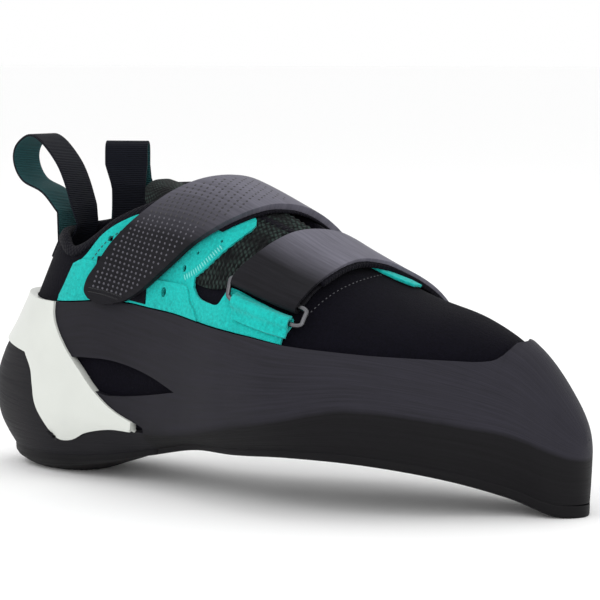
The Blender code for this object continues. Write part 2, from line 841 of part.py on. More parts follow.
# The pull loops. A ribbon's legs lie on both faces of the upper's wall, at a few heights over the
# collar's edge in millimetres. The free part between them is given in hundredths of the loop's
# height over that edge, where out is away from the foot.
Bend = namedtuple("Bend", "out up")
RIBBON = 1.0
RIBBON_COLUMNS = (-0.5, -0.25, 0, 0.25, 0.5)
HEEL_LOOP_HEIGHT = 36.0
HEEL_LOOP_WIDTH = 15.0
INNER_LEG_GAP = 0.8
HEEL_OUTER_LEG = (-12.0, -6.0)
HEEL_INNER_LEG = (2.5, -2.0, -7.0, -12.0)
HEEL_LOOP = [
    Bend(12.0, 16),
    Bend(34.0, 37),
    Bend(62.0, 49),
    Bend(74.0, 68),
    Bend(71.0, 86),
    Bend(53.0, 98),
    Bend(35.0, 92),
    Bend(14.0, 71),
    Bend(2.0, 50),
    Bend(-8.0, 23),
]
SIDE_LOOP_ALONG = 0.115
SIDE_LOOP_HEIGHT = 26.0
SIDE_LOOP_WIDTH = 17.0
SIDE_OUTER_LEG = (-9.0, -3.0, 4.0, 11.0)
SIDE_INNER_LEG = (11.0, 4.0, -3.0, -9.0)
SIDE_LOOP = [
    Bend(-5.0, 66),
    Bend(-4.5, 88),
    Bend(-7.0, 97),
    Bend(-12.5, 100),
    Bend(-18.0, 97),
    Bend(-21.0, 88),
    Bend(-22.0, 66),
]


def place_at_z(ring, z):
    """The place above the widest line where the last has a height."""
    low, high = WIDEST, 1.0
    for _ in range(30):
        middle = (low + high) / 2
        low, high = (middle, high) if last_point(ring, middle).z < z else (low, middle)
    return low


def make_loop(name, ring, outer_leg, bends, inner_leg, outer, height, width, material):
    """A ribbon folded over the collar's edge at one point of the ring. outer is the height of its
    outer leg over the last."""
    rim = last_point(ring, edge_place(ring, "open"))
    step = 0.01
    run = last_point(ring + step, place_at_z(ring + step, rim.z))
    run -= last_point(ring - step, place_at_z(ring - step, rim.z))
    reach = width / run.length * 2 * step
    run.z = 0
    run.normalize()
    out = run.cross(Vector((0, 0, 1)))

    def leg(rise, over_last):
        row = []
        for t in RIBBON_COLUMNS:
            near = ring + reach * t
            row.append(raised(near, place_at_z(near, rim.z + rise), over_last))
        return row

    grid = [leg(rise, outer) for rise in outer_leg]
    rows = list(enumerate(bends))
    for i in range(2 * len(bends) - 1):
        away = spline(rows, lambda row: row[0], lambda row: row[1].out, i / 2) / 100 * height
        up = spline(rows, lambda row: row[0], lambda row: row[1].up, i / 2) / 100 * height
        middle = rim + out * away + Vector((0, 0, up))
        grid.append([middle + run * width * t for t in RIBBON_COLUMNS])
    grid += [leg(rise, -UPPER_WALL - INNER_LEG_GAP - RIBBON / 2) for rise in inner_leg]
    return sheet(name, grid, RIBBON, material)


def main():
    clear_scene()
    black = finish("suede_black", (0.012, 0.012, 0.02), 0.95)
    teal = finish("suede_teal", (0.02, 0.58, 0.55), 0.95)
    rubber = finish("rubber", (0.03, 0.028, 0.033), 0.6)
    white = finish("band_white", (0.8, 0.82, 0.78), 0.3)
    grey = finish("strap_grey", (0.05, 0.05, 0.065), 0.6)
    mesh_black = finish("mesh_black", (0.02, 0.02, 0.025), 0.9)
    ribbon = finish("ribbon_black", (0.01, 0.01, 0.02), 0.7)
    wire = finish("ring_wire", (0.2, 0.2, 0.21), 0.35, metallic=1.0)
    make_upper(black)
    make_rand(rubber)
    make_heel_band(white)
    make_heel_cup(rubber)
    make_sole("heel_sole", 0, SOLE_SPLIT - GAP / LENGTH, rubber)
    make_sole("outsole", SOLE_SPLIT, 1, rubber)
    make_insole(mesh_black)
    make_tongue(mesh_black)
    make_quarter("quarter_lateral", 1, rounded(QUARTER_TOP) + rounded(QUARTER_FRONT), teal)
    make_quarter("quarter_medial", -1, rounded(QUARTER_TOP) + rounded(QUARTER_INNER_FRONT), teal)
    make_patch(mesh_black)
    make_strap("strap_top", STRAP_TOP, STRAP_TOP_THICKNESS, grey)
    make_strap("strap_lower", STRAP_LOWER, STRAP_LOWER_THICKNESS, grey)
    make_ring(wire)
    make_tab(teal)
    make_loop(
        "pull_loop_heel",
        0,
        HEEL_OUTER_LEG,
        HEEL_LOOP,
        HEEL_INNER_LEG,
        GAP + RIBBON / 2,
        HEEL_LOOP_HEIGHT,
        HEEL_LOOP_WIDTH,
        ribbon,
    )
    make_loop(
        "pull_loop_side",
        2 - turn(SIDE_LOOP_ALONG) / math.pi,
        SIDE_OUTER_LEG,
        SIDE_LOOP,
        SIDE_INNER_LEG,
        QUARTER_GAP + QUARTER_THICKNESS + GAP + RIBBON / 2,
        SIDE_LOOP_HEIGHT,
        SIDE_LOOP_WIDTH,
        ribbon,
    )


main()
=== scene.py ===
"""The looks of a climbing shoe for the right foot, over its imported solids.

+Z is up, +Y points to the toe and +X to the outer (lateral) side. The forms repeat the last of the
solids at finer steps, in millimetres, and the meshes are in metres. A point of the last is a pair
of numbers: a ring, from 0 at the heel along the outer side to 1 at the toe and on along the inner
side to 2, and a place, from 0 at the foot edge to 1 at the ridge.
"""

import math
from collections import namedtuple

import bpy
import numpy as np
from bpy.props import FloatProperty, FloatVectorProperty, PointerProperty
from bpy.types import Operator, Panel, PropertyGroup
from mathutils import Matrix, Vector


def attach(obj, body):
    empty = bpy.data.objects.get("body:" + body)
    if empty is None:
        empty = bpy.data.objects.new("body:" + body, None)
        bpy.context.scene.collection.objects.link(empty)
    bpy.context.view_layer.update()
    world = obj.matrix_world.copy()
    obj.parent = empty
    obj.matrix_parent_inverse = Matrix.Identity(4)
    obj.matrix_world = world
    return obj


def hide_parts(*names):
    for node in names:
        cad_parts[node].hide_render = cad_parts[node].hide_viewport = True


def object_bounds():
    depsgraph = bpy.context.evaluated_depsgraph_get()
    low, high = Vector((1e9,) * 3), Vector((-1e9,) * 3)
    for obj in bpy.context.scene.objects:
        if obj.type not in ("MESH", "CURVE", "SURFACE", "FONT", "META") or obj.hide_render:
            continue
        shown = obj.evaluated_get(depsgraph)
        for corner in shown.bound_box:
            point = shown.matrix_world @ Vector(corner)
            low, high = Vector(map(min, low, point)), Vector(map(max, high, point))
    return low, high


bl_info = {
    "name": "Climbing Shoe Looks",
    "version": (1, 0, 0),
    "blender": (4, 5, 0),
    "location": "3D View > Sidebar > Shoe",
    "description": "Models the visible pieces of a climbing shoe over its solids",
    "category": "Object",
}

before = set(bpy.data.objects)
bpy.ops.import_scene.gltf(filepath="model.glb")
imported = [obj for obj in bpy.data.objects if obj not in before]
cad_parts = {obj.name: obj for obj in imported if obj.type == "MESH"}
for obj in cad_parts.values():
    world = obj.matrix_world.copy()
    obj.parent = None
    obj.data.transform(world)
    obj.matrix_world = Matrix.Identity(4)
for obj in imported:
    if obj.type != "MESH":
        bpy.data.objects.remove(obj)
CAD_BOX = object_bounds()
MM = 0.001

# Sizes read from the solids, in millimetres
LENGTH = round((CAD_BOX[1].y - CAD_BOX[0].y) / MM, 2)
HEEL_SETBACK = round(-CAD_BOX[0].y / MM, 2)

GAP = 0.3  # clearance between pieces that lie on one another
RAND_THICKNESS = 2.2
RUBBER = RAND_THICKNESS + GAP
UPPER_WALL = 1.8
BAND_THICKNESS = 3.2
QUARTER_GAP = 0.45
QUARTER_THICKNESS = 1.2
SOLE_SEAT = 0.4
WIDEST = 0.35  # the widest line's place
WAIST = 0.40  # share of the length where widths change from the heel's to the ball's
LOW_BULGE = 0.35  # height of the fullest point between the foot edge and the widest line
LAST_START = RUBBER - HEEL_SETBACK
LAST_LENGTH = LENGTH - 2 * RUBBER

# One row for each section of the last. Across, values are hundredths of the heel's width up to the
# waist and of the ball's width from there on; up, they are hundredths of the instep's height.
Section = namedtuple(
    "Section",
    "along lat_x lat_z med_x med_z foot_lat_x foot_lat_z foot_med_x foot_med_z dish"
    " ridge_x ridge_z square belly",
)
SECTIONS = [
    Section(0.00, 0, 28, 0, 28, 0, 9.0, 0, 9.0, 0, 0, 110, 2.0, 1.0),
    Section(0.02, 19.5, 28, -18.5, 28, 15.5, 8.2, -14.5, 8.2, 3.0, 0, 110, 2.0, 1.0),
    Section(0.07, 32, 26, -31, 26, 26.5, 7.6, -24, 7.6, 5.6, 0, 110, 2.1, 1.0),
    Section(0.15, 41.5, 24, -40, 25, 34, 8.0, -30.5, 8.4, 6.4, 0, 109, 2.3, 0.9),
    Section(0.25, 45, 22, -42, 25, 35.5, 10.0, -32, 11.6, 3.0, 0, 106, 2.8, 0.8),
    Section(0.35, 46, 20, -38, 26, 35.5, 14.0, -29, 17.0, 0.5, 0, 102, 2.8, 0.6),
    Section(0.45, 37, 22, -28, 27.5, 29.5, 18.5, -21.5, 21.5, 0, 0, 100, 2.4, 0.4),
    Section(0.55, 45, 26.5, -37, 28.5, 38, 20.0, -29, 22.3, 0, -3, 90.5, 2.2, 0.2),
    Section(0.65, 48.5, 31.5, -45, 27.5, 40, 21.5, -36.5, 20.5, 0, -9, 77.5, 2.1, 0.15),
    Section(0.75, 39.5, 35.5, -48, 26, 31.5, 20.5, -40, 17.0, 0, -14, 67, 2.1, 0.15),
    Section(0.84, 22, 32.5, -46.5, 24, 15.5, 16.5, -39.5, 12.0, 0.3, -18, 60.5, 2.1, 0.2),
    Section(0.92, 1, 27.5, -40, 22, -4.5, 9.8, -34.5, 6.7, 1.6, -19.5, 50.5, 2.0, 0.3),
    Section(0.97, -7.5, 22.5, -34.5, 20.5, -10.5, 5.4, -31.5, 4.6, 2.0, -20.5, 37, 2.0, 0.4),
    Section(0.99, -12.5, 20, -29.5, 19.3, -14.5, 4.6, -27, 4.4, 1.2, -20.5, 30, 2.0, 0.4),
    Section(1.00, -20.5, 18.5, -20.5, 18.5, -20.5, 4.2, -20.5, 4.2, 0, -20.5, 23, 2.0, 0.4),
]

# The back of the heel leans forward as it rises: hundredths of the collar's height
Lean = namedtuple("Lean", "height setback")
HEEL_LEAN = [
    Lean(5, 10.6),
    Lean(10, 8.4),
    Lean(15, 5.2),
    Lean(21, 2.0),
    Lean(32, 0.0),
    Lean(38, 1.2),
    Lean(49, 6.6),
    Lean(58, 13.2),
    Lean(68, 19.6),
    Lean(75, 23.4),
    Lean(85, 28.6),
    Lean(94, 33.2),
    Lean(100, 37.0),
    Lean(117, 42.0),
]
LEAN_REACH = 0.42  # share of the length where the lean has faded out

# Heights of the rand's top edge and of the opening's edge, in hundredths of the way from the
# widest line up to the ridge
Edge = namedtuple("Edge", "along rand_lat rand_med open_lat open_med")
EDGES = [
    Edge(0.00, 39.5, 39.5, 68, 68),
    Edge(0.08, 40.5, 40.5, 67, 72),
    Edge(0.15, 42, 42, 64, 82),
    Edge(0.20, 44, 44, 68, 88),
    Edge(0.28, 48, 47, 81.5, 93),
    Edge(0.34, 50, 48, 90, 96.5),
    Edge(0.39, 49, 48, 95, 97),
    Edge(0.49, 46, 46, 97, 97),
    Edge(0.56, 45.5, 45, 98, 98),
    Edge(0.60, 46, 45, 99, 99),
    Edge(0.62, 46, 45, 100, 100),
    Edge(0.65, 46, 45, 100, 100),
    Edge(0.75, 47.5, 47, 100, 100),
    Edge(0.816, 54, 54, 100, 100),
    Edge(0.855, 61, 63, 100, 100),
    Edge(0.884, 69, 76, 100, 100),
    Edge(0.90, 80, 89, 100, 100),
    Edge(0.908, 100, 100, 100, 100),
    Edge(1.00, 100, 100, 100, 100),
]

# Outlines on the side of the shoe: along from the back of the heel, in hundredths of the length,
# and up, in hundredths of the instep's height
Spot = namedtuple("Spot", "along up")


def spots(*pairs):
    return [Spot(*pair) for pair in pairs]


BAND_FRONT = spots(
    (37.4, 20.9), (32.2, 24.8), (28.5, 30.2), (25.1, 38.0), (22.0, 45.4), (19.6, 54.3), (19.5, 63),
)
BAND_FOOT = spots(
    (13.0, 41.3), (14.6, 36.3), (15.1, 31.1), (15.7, 24.6), (17.4, 19.3), (19.4, 15.0), (20.6, 14.1),
    (22.9, 14.8), (26.1, 17.7), (30.6, 19.6), (35.0, 19.9), (37.4, 20.3),
)
BAND_BACK_UP = 44.0  # the band's lower edge at the very back
BAND_TIP_UP = 22.4  # where its limbs' front edges start
LENS_TOP = spots((23.4, 42.0), (26.1, 42.3), (30.4, 42.2), (34.8, 40.7), (39.7, 38.0), (44.5, 34.3))
LENS_BOTTOM = spots((28.0, 31.2), (30.4, 30.2), (36.4, 31.3), (44.5, 34.3))
QUARTER_COLLAR = spots(
    (19.5, 62.0), (20.0, 63.8), (21.3, 68.3), (22.7, 72.3), (24.9, 76.3), (27.4, 82.5), (29.2, 85.6),
    (31.1, 87.9), (34.0, 90.3), (40.0, 91.5), (46.7, 91.5),
)
QUARTER_ARM_TOP = spots((46.7, 91.5), (50.5, 90.9), (52.6, 89.6), (53.4, 87.6))
QUARTER_ARM_FOOT = spots((46.7, 71.6), (48.4, 74.4), (51.7, 82.0), (53.2, 86.0), (53.4, 87.6))
QUARTER_TOE_TOP = spots(
    (46.7, 68.4), (48.0, 65.4), (49.7, 64.2), (52.0, 63.6), (53.0, 66.4), (53.9, 69.0), (58.8, 65.5),
    (64.9, 60.5),
)
QUARTER_TOE_FRONT = spots((64.3, 55.2), (65.0, 58.6), (64.9, 60.5))
OVER_RAND = 0.5  # from the rand's edge up to the quarters
QUARTER_REAR, QUARTER_INNER_TOE = 19.4, 67.5  # along, on the rand's edge
LAP_TOP = spots(
    (22.6, 73.0), (24.4, 74.6), (26.8, 74.4), (33.0, 71.8), (40.0, 69.7), (44.3, 69.0), (45.5, 68.4),
)
LAP_ENDS = (19.6, 48.6)  # along, on the rand's edge
LAP_THICKNESS = 0.8
LAP_OVER = 0.75  # the lap's outer face over that of the quarter under it
LAP_FRONT = spots((47.6, 61.4), (46.6, 63.6), (46.0, 67.0), (45.5, 68.4))
QUARTER_INNER_FRONT = spots((68.0, 47.0), (69.4, 50.0), (71.0, 53.5), (71.6, 56.0))
QUARTER_INNER_TOP = spots(
    (71.6, 56.0), (66.0, 61.0), (60.0, 66.5), (54.0, 71.5), (47.0, 76.0), (40.0, 79.0), (33.0, 81.5),
    (27.4, 82.5),
)
MESH_FOOT = spots((44.5, 72), (47, 69.5), (51, 68.5), (56, 71), (62, 73), (66, 72))
MESH_TOP = 0.985  # the place that the instep's mesh ends at, near the ridge
MESH_THICKNESS, MESH_HEIGHT = 0.6, 0.75
MESH_RIB, MESH_PITCH = 0.22, 2.1  # the ribs' rise and their distance
LADDER_LINE = spots((44.6, 71.0), (46.5, 73.2), (48.3, 76.6), (50.2, 81.0))
VAMP_LINE = spots((66.0, 60.5), (66.8, 65.0), (67.8, 69.5), (69.2, 73.6))

# Holes through the outer quarter, with their width and height in millimetres. The lap has the first.
Hole = namedtuple("Hole", "along up wide tall")
HOLES = [
    Hole(41.1, 66.0, 2.6, 3.8),
    Hole(44.4, 74.0, 1.8, 2.6),
    Hole(23.9, 69.0, 2.6, 2.8),
    Hole(29.4, 82.0, 2.2, 2.2),
    Hole(46.4, 79.0, 1.2, 1.3),
    Hole(49.9, 82.8, 1.1, 1.1),
]

# The straps' sections from the outer end over the ridge to the inner end. Swing is 0 on the widest
# line, 1 on the ridge and 2 on the inner widest line. Rear and front are shares of the length, and
# the height is that of the strap's middle over the last.
Strap = namedtuple("Strap", "swing rear front height")
STRAP_TOP = [
    Strap(0.2215, 0.2775, 0.2835, 4.3),
    Strap(0.2235, 0.2715, 0.2890, 4.3),
    Strap(0.228, 0.262, 0.298, 4.3),
    Strap(0.235, 0.2525, 0.311, 4.3),
    Strap(0.255, 0.2435, 0.336, 4.3),
    Strap(0.29, 0.248, 0.364, 4.3),
    Strap(0.34, 0.266, 0.392, 4.3),
    Strap(0.42, 0.289, 0.427, 4.2),
    Strap(0.50, 0.315, 0.454, 4.1),
    Strap(0.60, 0.349, 0.485, 4.0),
    Strap(0.70, 0.381, 0.508, 3.9),
    Strap(0.80, 0.412, 0.524, 3.8),
    Strap(0.90, 0.438, 0.535, 3.6),
    Strap(1.00, 0.455, 0.547, 3.4),
    Strap(1.10, 0.470, 0.560, 3.4),
    Strap(1.20, 0.482, 0.572, 3.4),
    Strap(1.35, 0.500, 0.590, 3.4),
    Strap(1.50, 0.515, 0.604, 3.4),
    Strap(1.60, 0.525, 0.612, 3.4),
]
STRAP_TOP_THICKNESS = 2.4
STRAP_BORDER = 0.05  # share of a strap's width
PAD_START = 9.2  # the section where a strap's padding starts
PAD_SHOWS = 0.005  # share of the length by which the padding shows in front, as painted shadow under the strap's edge
STITCH_ROWS = (3.85, 4.25)  # the sections that the top strap's two rows of stitches lie on
DOT_PITCH = 2.55
DOT_START = 7.0  # from the strap's outer end to the first row of dots
DOT_MARGIN = 3.0  # from the strap's edges
DOT_ROWS = 13.0  # the section on the ridge, where the rows end
DOTS_END, PITS_END = 0.45, 0.93  # shares of the way there where raised dots and faint ones end
STRAP_LOWER = [
    Strap(0.66, 0.582, 0.664, 2.5),
    Strap(0.58, 0.568, 0.661, 2.5),
    Strap(0.51, 0.557, 0.659, 2.5),
    Strap(0.472, 0.552, 0.657, 2.6),
    Strap(0.455, 0.550, 0.656, 3.0),
    Strap(0.447, 0.549, 0.655, 4.4),
    Strap(0.455, 0.550, 0.656, 5.8),
    Strap(0.472, 0.552, 0.657, 6.3),
    Strap(0.51, 0.557, 0.659, 6.4),
    Strap(0.60, 0.570, 0.663, 6.2),
    Strap(0.70, 0.580, 0.667, 5.8),
    Strap(0.80, 0.589, 0.670, 5.4),
    Strap(0.90, 0.600, 0.675, 4.9),
    Strap(1.00, 0.612, 0.690, 4.3),
    Strap(1.10, 0.630, 0.715, 3.6),
    Strap(1.20, 0.645, 0.730, 3.1),
    Strap(1.35, 0.660, 0.742, 2.8),
    Strap(1.50, 0.670, 0.750, 2.6),
]
STRAP_LOWER_THICKNESS = 1.4
TAB = [
    Strap(0.325, 0.556, 0.652, 2.45),
    Strap(0.352, 0.556, 0.652, 2.50),
    Strap(0.366, 0.556, 0.652, 3.3),
    Strap(0.375, 0.556, 0.652, 4.4),
    Strap(0.390, 0.556, 0.652, 4.9),
    Strap(0.405, 0.556, 0.652, 4.4),
    Strap(0.414, 0.556, 0.652, 3.3),
    Strap(0.422, 0.556, 0.652, 2.7),
]
TAB_THICKNESS = 1.2

# The tongue's edge and the inner quarter's corner over the ridge, as swings at shares of the length
Lap = namedtuple("Lap", "along swing")
TONGUE = [
    Lap(0.30, 0.80),
    Lap(0.315, 0.68),
    Lap(0.36, 0.62),
    Lap(0.42, 0.62),
    Lap(0.50, 0.64),
    Lap(0.58, 0.68),
    Lap(0.64, 0.76),
    Lap(0.66, 0.84),
]
CORNER = [Lap(0.63, 0.95), Lap(0.66, 0.962), Lap(0.692, 0.970), Lap(0.715, 0.984), Lap(0.735, 1.005)]
CORNER_FOOT = 1.10  # the corner's other edge, on the inner side
TONGUE_DEPTH = UPPER_WALL + GAP + 0.7
TONGUE_THICKNESS = 2.6

PATCH_THICKNESS = 0.8
PATCH_HEIGHT = QUARTER_GAP + QUARTER_THICKNESS + GAP + PATCH_THICKNESS
PATCH_ENDS = (0.254, 0.372)
PATCH_RISE = 0.13

RING_WIRE = 1.8
RING_BARS = (0.472, 0.390)
RING_ENDS = (0.543, 0.669)
RING_HEIGHTS = (4.4, 2.9)

# The pull loops: heights of the legs' ends over the collar's edge, and the free part's bends in
# hundredths of the loop's height, where out is away from the foot
Bend = namedtuple("Bend", "out up")
RIBBON = 1.0
HEEL_OUTER_LEG = (-12.0, -6.0)
HEEL_INNER_LEG = (2.5, -12.0)
HEEL_LOOP = [
    Bend(12.0, 16),
    Bend(34.0, 37),
    Bend(62.0, 49),
    Bend(74.0, 68),
    Bend(71.0, 86),
    Bend(53.0, 98),
    Bend(35.0, 92),
    Bend(14.0, 71),
    Bend(2.0, 50),
    Bend(-8.0, 23),
]
SIDE_LOOP_ALONG = 0.115
SIDE_OUTER_LEG = (-9.0, 11.0)
SIDE_INNER_LEG = (11.0, -9.0)
SIDE_LOOP = [
    Bend(-5.0, 66),
    Bend(-4.5, 88),
    Bend(-7.0, 97),
    Bend(-12.5, 100),
    Bend(-18.0, 97),
    Bend(-21.0, 88),
    Bend(-22.0, 66),
]
LOOP_INSIDE = 0.8  # from the wall to the legs inside
HEEL_LOOP_HEIGHT, HEEL_LOOP_WIDTH = 36.0, 15.0
SIDE_LOOP_HEIGHT, SIDE_LOOP_WIDTH = 26.0, 17.0

SOLE_SPLIT = 0.372  # share of the length where the heel's sole meets the outsole
SOLE_TAPER = 0.95  # the sole's lower outline against its upper one
INSOLE_ENDS = (5 / 32, 27 / 32)  # as rings
INSOLE_THICKNESS = 2.0
INSOLE_INSET = RUBBER + UPPER_WALL + 2.2


# The last

def size(name):
    """A size from the sidebar, in millimetres."""
    return getattr(bpy.context.scene.shoe_sizes, name) / MM


def spline(keys, values, at):
    """Values on a smooth curve through keys and values, held at its ends."""
    keys, values = np.asarray(keys, float), np.asarray(values, float)
    at = np.clip(at, keys[0], keys[-1])
    count = len(keys)
    i = np.clip(np.searchsorted(keys, at, side="right") - 1, 0, count - 2)
    low = np.maximum(np.arange(count) - 1, 0)
    high = np.minimum(np.arange(count) + 1, count - 1)
    slope = (values[high] - values[low]) / (keys[high] - keys[low])
    span = keys[i + 1] - keys[i]
    t = (at - keys[i]) / span
    return (
        (2 * t**3 - 3 * t**2 + 1) * values[i]
        + (t**3 - 2 * t**2 + t) * span * slope[i]
        + (3 * t**2 - 2 * t**3) * values[i + 1]
        + (t**3 - t**2) * span * slope[i + 1]
    )


def column(table, name):
    return np.array([getattr(row, name) for row in table], float)


def turn(along):
    """The angle of a share of the length, so that the ends of an outline come out round."""
    return np.arccos(1 - 2 * np.clip(along, 0, 1))


SECTION_TURNS = turn(column(SECTIONS, "along"))
EDGE_TURNS = turn(column(EDGES, "along"))


def split(ring):
    """The angle of a ring, and whether it lies on the outer side."""
    ring = np.mod(ring, 2)
    lateral = ring <= 1
    return np.pi * np.where(lateral, ring, 2 - ring), lateral


def section(ring):
    """The sizes of the section at each ring, in millimetres."""
    angle, lateral = split(ring)
    up = size("instep_height") / 100
    rows = column(SECTIONS, "along")
    width = np.where(rows < WAIST, size("heel_width"), size("ball_width")) / 100

    def value(name, scale=1.0):
        return spline(SECTION_TURNS, column(SECTIONS, name) * scale, angle)

    def sided(before, after, scale):
        return np.where(lateral, value(before + "lat" + after, scale), value(before + "med" + after, scale))

    return {
        "wide": (sided("", "_x", width), sided("", "_z", up)),
        "foot": (sided("foot_", "_x", width), sided("foot_", "_z", up)),
        "ridge": (value("ridge_x", width), value("ridge_z", up)),
        "square": value("square"),
        "belly": value("belly"),
        "dish": value("dish", up),
    }


def lean(z):
    up = size("collar_height") / 100
    return spline(column(HEEL_LEAN, "height") * up, column(HEEL_LEAN, "setback") * up, z)


def last(ring, place):
    """Points of the last's surface, in millimetres."""
    ring, place = np.broadcast_arrays(np.asarray(ring, float), np.asarray(place, float))
    got = section(ring)
    foot, wide, ridge = got["foot"], got["wide"], got["ridge"]
    t = np.clip(place / WIDEST, 0, 1)
    swing = np.clip((place - WIDEST) / (1 - WIDEST), 0, 1) * np.pi / 2
    power = 2 / got["square"]
    full = (wide[0], foot[1] + LOW_BULGE * (wide[1] - foot[1]))
    low = []
    for k in (0, 1):
        straight = (foot[k] + wide[k]) / 2
        bend = straight + got["belly"] * (full[k] - straight)
        low.append((1 - t) ** 2 * foot[k] + 2 * t * (1 - t) * bend + t**2 * wide[k])
    high_x = ridge[0] + (wide[0] - ridge[0]) * np.maximum(np.cos(swing), 0) ** power
    high_z = wide[1] + (ridge[1] - wide[1]) * np.sin(swing) ** power
    x = np.where(place <= WIDEST, low[0], high_x)
    z = np.where(place <= WIDEST, low[1], high_z)
    along = (1 - np.cos(split(ring)[0])) / 2
    fade = np.maximum(0, 1 - along / LEAN_REACH) ** 2
    return np.stack([x, LAST_START + LAST_LENGTH * along + lean(z) * fade, z], -1)


def unit(vectors):
    return vectors / np.maximum(np.linalg.norm(vectors, axis=-1, keepdims=True), 1e-9)


def side_normal(ring, place):
    step = 0.004
    ahead = last(ring + step, place) - last(ring - step, place)
    up = last(ring, np.minimum(place + step, 1)) - last(ring, np.maximum(place - step, 0))
    return unit(np.cross(ahead, up))


def normal(ring, place):
    ring, place = np.broadcast_arrays(np.asarray(ring, float), np.asarray(place, float))
    found = side_normal(ring, place)
    other = side_normal(2 - ring, place)
    return np.where((place > 0.9995)[..., None], unit(found + other), found)


def raised(ring, place, height):
    height = np.broadcast_to(np.asarray(height, float), np.broadcast(ring, place).shape)
    return last(ring, place) + normal(ring, place) * height[..., None]


def place_at_share(ring, share):
    """The place whose height is a share of the way from the widest line up to the ridge."""
    rise = np.arcsin(np.clip(share, 0, 1) ** (section(ring)["square"] / 2))
    return WIDEST + (1 - WIDEST) * rise / (np.pi / 2)


def edge(ring, name):
    """The place of the rand's edge or of the opening's edge."""
    angle, lateral = split(ring)
    share = np.where(
        lateral,
        spline(EDGE_TURNS, column(EDGES, name + "_lat"), angle),
        spline(EDGE_TURNS, column(EDGES, name + "_med"), angle),
    )
    return place_at_share(ring, share / 100)


def place_at_z(ring, z):
    """The place with a height in millimetres, above or below the widest line."""
    got = section(ring)
    wide, foot, ridge = got["wide"][1], got["foot"][1], got["ridge"][1]
    share = np.clip((z - wide) / (ridge - wide), 0, 1)
    above = WIDEST + (1 - WIDEST) * np.arcsin(share ** (got["square"] / 2)) / (np.pi / 2)
    straight = (foot + wide) / 2
    bend = straight + got["belly"] * (foot + LOW_BULGE * (wide - foot) - straight)
    a, b, c = foot - 2 * bend + wide, 2 * (bend - foot), foot - z
    root = np.sqrt(np.maximum(b * b - 4 * a * c, 0))
    flat = np.abs(a) < 1e-6
    t = np.where(flat, -c / np.where(b == 0, 1, b), (root - b) / np.where(flat, 1, 2 * a))
    return np.where(z >= wide, above, WIDEST * np.clip(t, 0, 1))


def on_side(along, up, side, behind=False):
    """Ring and place of points seen from the side. With behind, the inner side's ring is negative."""
    along, up = np.broadcast_arrays(np.asarray(along, float), np.asarray(up, float))
    y = along / 100 * LENGTH
    z = up / 100 * size("instep_height")
    low, high = np.zeros_like(y), np.ones_like(y)
    for _ in range(40):
        u = (low + high) / 2
        found = RUBBER + LAST_LENGTH * u + lean(z) * np.maximum(0, 1 - u / LEAN_REACH) ** 2
        low, high = np.where(found < y, u, low), np.where(found < y, high, u)
    ring = turn(u) / np.pi
    if side == "med":
        ring = -ring if behind else 2 - ring
    return np.stack([ring, place_at_z(ring, z)], -1)


# Lines and patches, as arrays of ring and place

def resample(line, count):
    run = run_along(last(line[:, 0], line[:, 1]))
    at = np.linspace(0, run[-1], count)
    return np.stack([np.interp(at, run, line[:, k]) for k in (0, 1)], -1)


def through(spots, count, side="lat", behind=False):
    """A smooth line through spots on the side of the shoe."""
    along, up = column(spots, "along"), column(spots, "up")
    keys = np.concatenate([[0], np.cumsum(np.hypot(np.diff(along), np.diff(up)))])
    at = np.linspace(0, keys[-1], 240)
    return resample(on_side(spline(keys, along, at), spline(keys, up, at), side, behind), count)


def band_front(low, high, count, side="lat", behind=False):
    """The band's front edge between two heights."""
    up = np.linspace(low, high, 160)
    along = spline(column(BAND_FRONT, "up"), column(BAND_FRONT, "along"), up)
    return resample(on_side(along, up, side, behind), count)


def ring_at(along, place_of, side="lat"):
    """The ring where a line of places has its point at a share of the length, in hundredths."""
    low, high = 0.0, 1.0
    for _ in range(40):
        ring = (low + high) / 2
        here = last(ring if side == "lat" else 2 - ring, place_of(ring if side == "lat" else 2 - ring))
        low, high = (ring, high) if here[..., 1] + HEEL_SETBACK < along / 100 * LENGTH else (low, ring)
    return ring if side == "lat" else 2 - ring


def lifted(place_of, rise):
    """The places a few millimetres above or below a line of places."""

    def shifted(ring):
        place = place_of(ring)
        step = 0.02
        span = np.linalg.norm(last(ring, np.minimum(place + step, 1)) - last(ring, place), axis=-1)
        return np.minimum(place + rise * step / np.maximum(span, 0.05), 1)

    return shifted


def rand_edge(ring):
    return edge(ring, "rand")


def open_edge(ring):
    return edge(ring, "open")


def level(first, final, count, place_of):
    ring = np.linspace(first, final, count)
    place = place_of(ring) if callable(place_of) else np.full(count, place_of)
    return np.stack([ring, place], -1)


def straight(a, b, count):
    t = np.linspace(0, 1, count)[:, None]
    return (1 - t) * np.asarray(a) + t * np.asarray(b)


def chain(*lines):
    """Lines end to end, without their doubled points."""
    return np.concatenate([lines[0]] + [line[1:] for line in lines[1:]])


def patch(bottom, top, left, right):
    """A grid between four lines, rows from bottom to top."""
    s = np.linspace(0, 1, len(bottom))[None, :, None]
    t = np.linspace(0, 1, len(left))[:, None, None]
    ruled = (1 - t) * bottom[None] + t * top[None] + (1 - s) * left[:, None] + s * right[:, None]
    corners = (
        (1 - s) * (1 - t) * bottom[0] + s * (1 - t) * bottom[-1] + (1 - s) * t * top[0] + s * t * top[-1]
    )
    return ruled - corners


def run_along(points):
    """The way from the first point to each point."""
    return np.concatenate([[0], np.cumsum(np.linalg.norm(np.diff(points, axis=0), axis=1))])


def around(ring):
    """The way round the shoe to each ring, in millimetres."""
    rings = np.linspace(-1, 3, 801)
    return np.interp(ring, rings, run_along(last(rings, WIDEST)))


PLACE_MM = 100  # rough length of a section's line, for the pattern's scale


# Meshes

def only(*things):
    bpy.ops.object.select_all(action="DESELECT")
    for thing in things:
        thing.select_set(True)
    bpy.context.view_layer.objects.active = things[0]


